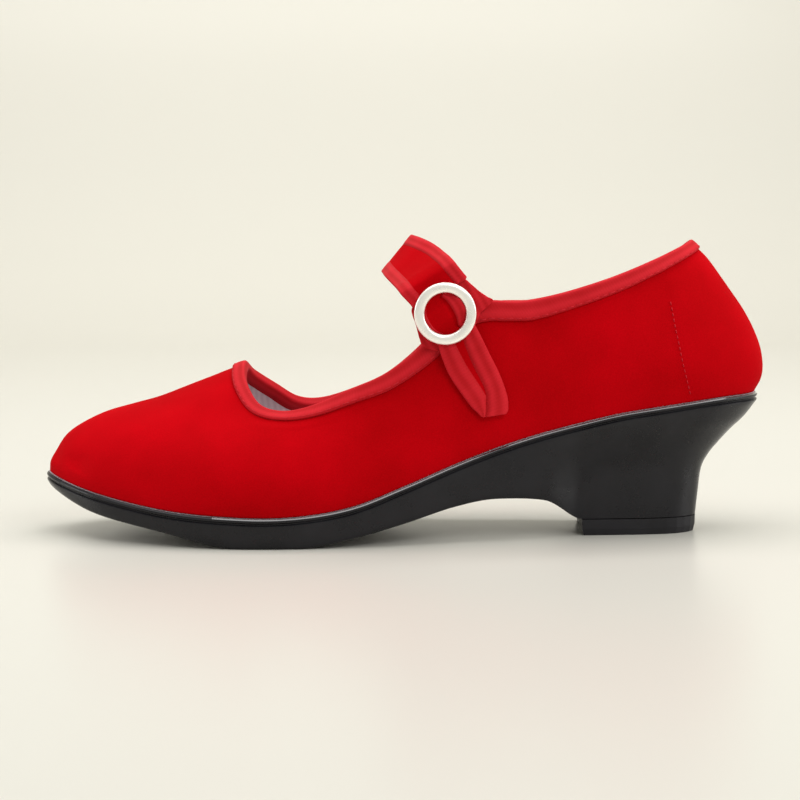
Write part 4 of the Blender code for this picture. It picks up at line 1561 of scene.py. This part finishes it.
    def tape(self, name: str, side: float, way: Frames) -> bpy.types.Object:
        """Fold one tape round an edge of the velvet.

        Args:
            name: Name of the piece.
            side: -1 for the front edge, 1 for the rear one.
            way: The strap's middle line, directions and half widths.

        Returns:
            The tape, standing a little proud at the tip where it lies over the other one.
        """
        middle, across, out, half = way
        width = self.tape_widths(side, half)
        rise = soft_step(*self.wedge_rows, self.thread_rows(len(half)))[:, None]
        proud = 1.0 + self.proud * rise * (side > 0.0)
        columns = []
        for reach, face in self.tape_section:
            inset = (half + self.tape_rim) - width * reach
            columns.append(middle + across * (inset * side)[:, None]
                           + out * (self.thickness / 2.0) * face * proud)
        grid = np.array(columns).transpose(1, 0, 2)
        made = grid_object(name, grid, True, False,
                           run_length(grid[len(grid) // 3], True), run_length(middle, False))
        swap_map(made)
        cap_ends(made, grid.shape[1], grid.shape[0])
        face_out(made)
        made.data.materials.append(self.wardrobe.tape)
        return made

    def build(self) -> list[bpy.types.Object]:
        """Make the velvet strap and its two tape edges.

        Returns:
            The finished pieces, standing for the CAD strap.
        """
        way = self.frames()
        pieces = [self.core(way), self.tape("strap_tape_front", -1.0, way),
                  self.tape("strap_tape_rear", 1.0, way)]
        for piece in pieces:
            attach(piece, BODY)
        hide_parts("strap")
        return pieces


def swap_map(item: bpy.types.Object) -> None:
    """Exchange U and V of a piece's map, so that U runs along the tape.

    Args:
        item: The tape.
    """
    layer = item.data.uv_layers["Lay"]
    values = np.empty(len(layer.data) * 2)
    layer.data.foreach_get("uv", values)
    pairs = values.reshape(-1, 2)[:, ::-1].copy()
    layer.data.foreach_set("uv", pairs.reshape(-1))


@dataclass
class BuckleTab:
    """The tab of tape cloth behind the ring, drawn out to one ear beside the strap.

    The reach holds degrees round the ring's centre and ring radii.
    """

    last: Last
    wardrobe: Wardrobe
    buckle: RingBuckle
    rim: float = 0.0003
    reach: tuple[tuple[float, float], ...] = (
        (0.0, 1.17), (8.0, 1.40), (15.0, 1.62), (21.0, 1.48), (33.0, 1.32), (47.0, 1.27),
        (62.0, 1.27), (85.0, 1.12), (120.0, 1.00), (150.0, 1.00), (172.0, 1.06), (184.0, 1.03),
        (200.0, 0.99), (225.0, 1.14), (237.0, 1.26), (254.0, 1.24), (270.0, 1.22),
        (290.0, 1.26), (308.0, 1.20), (335.0, 1.08))
    steps: int = 8

    def build(self) -> bpy.types.Object:
        """Make the tab.

        Returns:
            The finished piece, standing for the CAD tab.
        """
        low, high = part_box("buckle_tab")
        centre, run, bar = self.buckle.axes()
        turns = np.radians([turn for turn, _ in self.reach])
        spans = np.array([span for _, span in self.reach]) * self.buckle.radius
        outline = np.stack([closed_curve(np.cos(turns) * spans, self.steps),
                            closed_curve(np.sin(turns) * spans, self.steps)], axis=1)
        rows = []
        for shrink, depth in ((self.rim, high[1]), (0.0, high[1] - self.rim),
                              (0.0, low[1] + self.rim), (self.rim * 0.4, low[1] + self.rim * 0.3),
                              (self.rim * 1.6, low[1]), (self.rim * 8.0, low[1])):
            flat = centre + outline * (1.0 - shrink / self.buckle.radius)
            rows.append(np.column_stack([flat[:, 0], np.full(len(flat), depth), flat[:, 1]]))
        grid = np.array(rows)
        made = grid_object("tab_cloth", grid, True, False, run_length(grid[0], True),
                           run_length(grid[:, 0], False))
        cap_ends(made, grid.shape[1], grid.shape[0])
        face_out(made)
        layer = made.data.uv_layers["Lay"]
        for loop in made.data.loops:
            point = made.data.vertices[loop.vertex_index].co
            flat = np.array([point.x, point.z]) - centre
            layer.data[loop.index].uv = (float(flat @ run), float(flat @ bar))
        made.data.materials.append(self.wardrobe.tape)
        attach(made, BODY)
        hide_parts("buckle_tab")
        return made


@dataclass
class StitchRun:
    """A row of stitches along a path, made by Geometry Nodes."""

    wardrobe: Wardrobe
    pitch: float = 0.0030
    length: float = 0.0021
    thread: float = 0.00016
    sides: int = 6

    def tree(self) -> bpy.types.NodeTree:
        """Build the node tree that lays stitches along a curve.

        Returns:
            The tree, with inputs for the pitch, the stitch length and the thread.
        """
        tree = bpy.data.node_groups.new("LayStitches", "GeometryNodeTree")
        sockets = tree.interface
        sockets.new_socket(name="Path", in_out="INPUT", socket_type="NodeSocketGeometry")
        for label in ("Pitch", "Length", "Thread"):
            sockets.new_socket(name=label, in_out="INPUT", socket_type="NodeSocketFloat")
        sockets.new_socket(name="Stitches", in_out="OUTPUT", socket_type="NodeSocketGeometry")
        given = add(tree, "NodeGroupInput")
        curve = add(tree, "GeometryNodeMeshToCurve", None, {"Mesh": given.outputs["Path"]})
        spaced = add(tree, "GeometryNodeResampleCurve", {"mode": "LENGTH"},
                     {"Curve": curve.outputs[0], "Length": given.outputs["Pitch"]})
        rod = add(tree, "GeometryNodeMeshCylinder", {"Vertices": self.sides},
                  {"Radius": given.outputs["Thread"], "Depth": given.outputs["Length"]})
        run = add(tree, "GeometryNodeInputTangent")
        turn = add(tree, "FunctionNodeAlignEulerToVector", {"axis": "Z"},
                   {"Vector": run.outputs[0]})
        placed = add(tree, "GeometryNodeInstanceOnPoints", None,
                     {"Points": spaced.outputs[0], "Instance": rod.outputs[0],
                      "Rotation": turn.outputs[0]})
        real = add(tree, "GeometryNodeRealizeInstances", None, {0: placed.outputs[0]})
        dressed = add(tree, "GeometryNodeSetMaterial", {"Material": self.wardrobe.thread},
                      {"Geometry": real.outputs[0]})
        result = add(tree, "NodeGroupOutput")
        tree.links.new(dressed.outputs[0], result.inputs["Stitches"])
        return tree

    def build(self, name: str, path: np.ndarray, closed: bool) -> bpy.types.Object:
        """Lay stitches along a path.

        Args:
            name: Name of the piece.
            path: Points of the path.
            closed: Whether the path joins its start.

        Returns:
            The stitches as one plain mesh.
        """
        count = len(path)
        edges = [(index, (index + 1) % count) for index in range(count if closed else count - 1)]
        mesh = bpy.data.meshes.new(name + "_path")
        mesh.from_pydata(path.tolist(), edges, [])
        guide = bpy.data.objects.new(name + "_path", mesh)
        bpy.context.scene.collection.objects.link(guide)
        tree = self.tree()
        modifier = guide.modifiers.new("Stitches", "NODES")
        modifier.node_group = tree
        sizes = {"Pitch": self.pitch, "Length": self.length, "Thread": self.thread}
        for item in tree.interface.items_tree:
            if item.item_type == "SOCKET" and item.name in sizes:
                modifier[item.identifier] = sizes[item.name]
        graph = bpy.context.evaluated_depsgraph_get()
        plain = bpy.data.meshes.new_from_object(guide.evaluated_get(graph))
        bpy.data.objects.remove(guide, do_unlink=True)
        made = bpy.data.objects.new(name, plain)
        bpy.context.scene.collection.objects.link(made)
        plain.shade_smooth()
        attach(made, BODY)
        return made


# Studio


@dataclass(frozen=True)
class SoftBox:
    """A rectangular lamp that looks at a point: place and aim in metres, power in watts."""

    name: str
    place: tuple[float, float, float]
    size: tuple[float, float]
    power: float
    aim: tuple[float, float, float]

    def hang(self) -> None:
        """Add the lamp to the scene."""
        lamp = bpy.data.lights.new(self.name, "AREA")
        lamp.shape = "RECTANGLE"
        lamp.size, lamp.size_y = self.size
        lamp.energy = self.power
        stand = bpy.data.objects.new(self.name, lamp)
        stand.location = self.place
        way = Vector(self.aim) - Vector(self.place)
        stand.rotation_mode = "QUATERNION"
        stand.rotation_quaternion = way.to_track_quat("-Z", "Y")
        bpy.context.scene.collection.objects.link(stand)


@dataclass
class Studio:
    """Pale floor, soft lights and the camera at the photograph's angle."""

    wardrobe: Wardrobe
    boxes: tuple[SoftBox, ...] = (
        SoftBox("key_overhead", (0.02, -0.05, 0.80), (1.25, 0.6), 5.2, (0.0, 0.0, 0.03)),
        SoftBox("fill_front", (0.45, -1.0, 0.80), (0.6, 0.4), 4.4, (0.0, 0.0, 0.05)),
        SoftBox("side_toe", (-0.8, 0.05, 0.30), (0.3, 0.5), 1.9, (-0.05, 0.0, 0.04)),
        SoftBox("side_heel", (0.8, -0.15, 0.35), (0.3, 0.5), 2.2, (0.05, 0.0, 0.04)),
        SoftBox("backdrop_wash", (0.0, 0.45, 1.35), (1.6, 0.4), 8.5, (0.0, 1.4, 0.35)))
    air: str = "#F7F6F0"
    air_strength: float = 0.5
    camera_place: tuple[float, float, float] = (-0.0511, -0.6981, 0.1118)
    camera_turn: float = math.radians(-4.0)
    camera_pitch: float = math.radians(-5.46)
    focal: float = 92.2
    floor_front: float = -1.6
    floor_back: float = 0.9
    sweep_radius: float = 0.5
    sweep_steps: int = 12
    paper_top: float = 1.6
    paper_half: float = 2.2

    def build(self) -> None:
        """Make the floor, the lights, the world and the camera."""
        self.floor()
        for box in self.boxes:
            box.hang()
        self.fill_air()
        self.set_camera()
        bpy.context.scene.view_settings.view_transform = "Standard"

    def fill_air(self) -> None:
        """Fill the room with even pale light."""
        world = bpy.data.worlds.new("studio_air")
        world.use_nodes = True
        air = world.node_tree.nodes["Background"]
        air.inputs["Color"].default_value = linear(self.air)
        air.inputs["Strength"].default_value = self.air_strength
        bpy.context.scene.world = world

    def set_camera(self) -> None:
        """Set the camera where the photograph was taken from."""
        camera = bpy.data.cameras.new("camera")
        camera.lens = self.focal
        camera.sensor_width = 36.0
        camera.clip_start = 0.01
        camera.clip_end = 20.0
        viewer = bpy.data.objects.new("camera", camera)
        viewer.location = self.camera_place
        viewer.rotation_euler = Euler((math.radians(90.0) + self.camera_pitch, 0.0,
                                       self.camera_turn))
        bpy.context.scene.collection.objects.link(viewer)
        bpy.context.scene.camera = viewer

    def floor(self) -> None:
        """Make the paper sweep: a flat floor that curves up far behind the shoe."""
        back, bend = self.floor_back, self.sweep_radius
        profile = [(self.floor_front, 0.0), (back, 0.0)]
        for step in range(1, self.sweep_steps + 1):
            turn = math.pi / 2.0 * step / self.sweep_steps
            profile.append((back + bend * math.sin(turn), bend - bend * math.cos(turn)))
        profile.append((back + bend, self.paper_top))
        grid = np.array([[(side * self.paper_half, y, z) for side in (-1.0, 1.0)]
                         for y, z in profile])
        made = grid_object("paper_sweep", grid, False, False,
                           np.array([0.0, 2.0 * self.paper_half]),
                           np.linspace(0.0, 4.0, len(profile)))
        made.data.shade_smooth()
        made.data.materials.append(self.wardrobe.paper)


def main() -> None:
    """Load the frame, build every piece in order and report it."""
    logging.basicConfig(level=logging.INFO, format="%(message)s")
    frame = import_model()
    CAD_NODES.update(frame["nodes"])
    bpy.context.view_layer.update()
    wardrobe = Wardrobe()
    last = Last()
    made = [SoleUnit(last, wardrobe).build(), Insole(wardrobe).build()]
    lift = CAD_NODES["heel_top_lift"].data.materials
    lift.clear()
    lift.append(wardrobe.lift)
    upper = Upper(last, wardrobe)
    body = upper.build()
    made.append(body)
    binding = Binding(last, wardrobe)
    made.append(binding.build())
    buckle = RingBuckle(last, wardrobe)
    made.append(buckle.build())
    made.append(BuckleTab(last, wardrobe, buckle).build())
    made += Strap(last, wardrobe, buckle).build()
    stitches = StitchRun(wardrobe)
    made.append(stitches.build("stitches_topline", binding.stitch_line(), True))
    fine = StitchRun(wardrobe, pitch=0.0019, length=0.0011, thread=0.00017)
    for side in Side:
        made.append(fine.build(f"stitches_counter_{side.name.lower()}",
                               upper.seam_line(body, side), False))
    Studio(wardrobe).build()
    for piece in made:
        LOG.info("%s: %d faces", piece.name, len(piece.data.polygons))


if __name__ == "__main__":
    main()
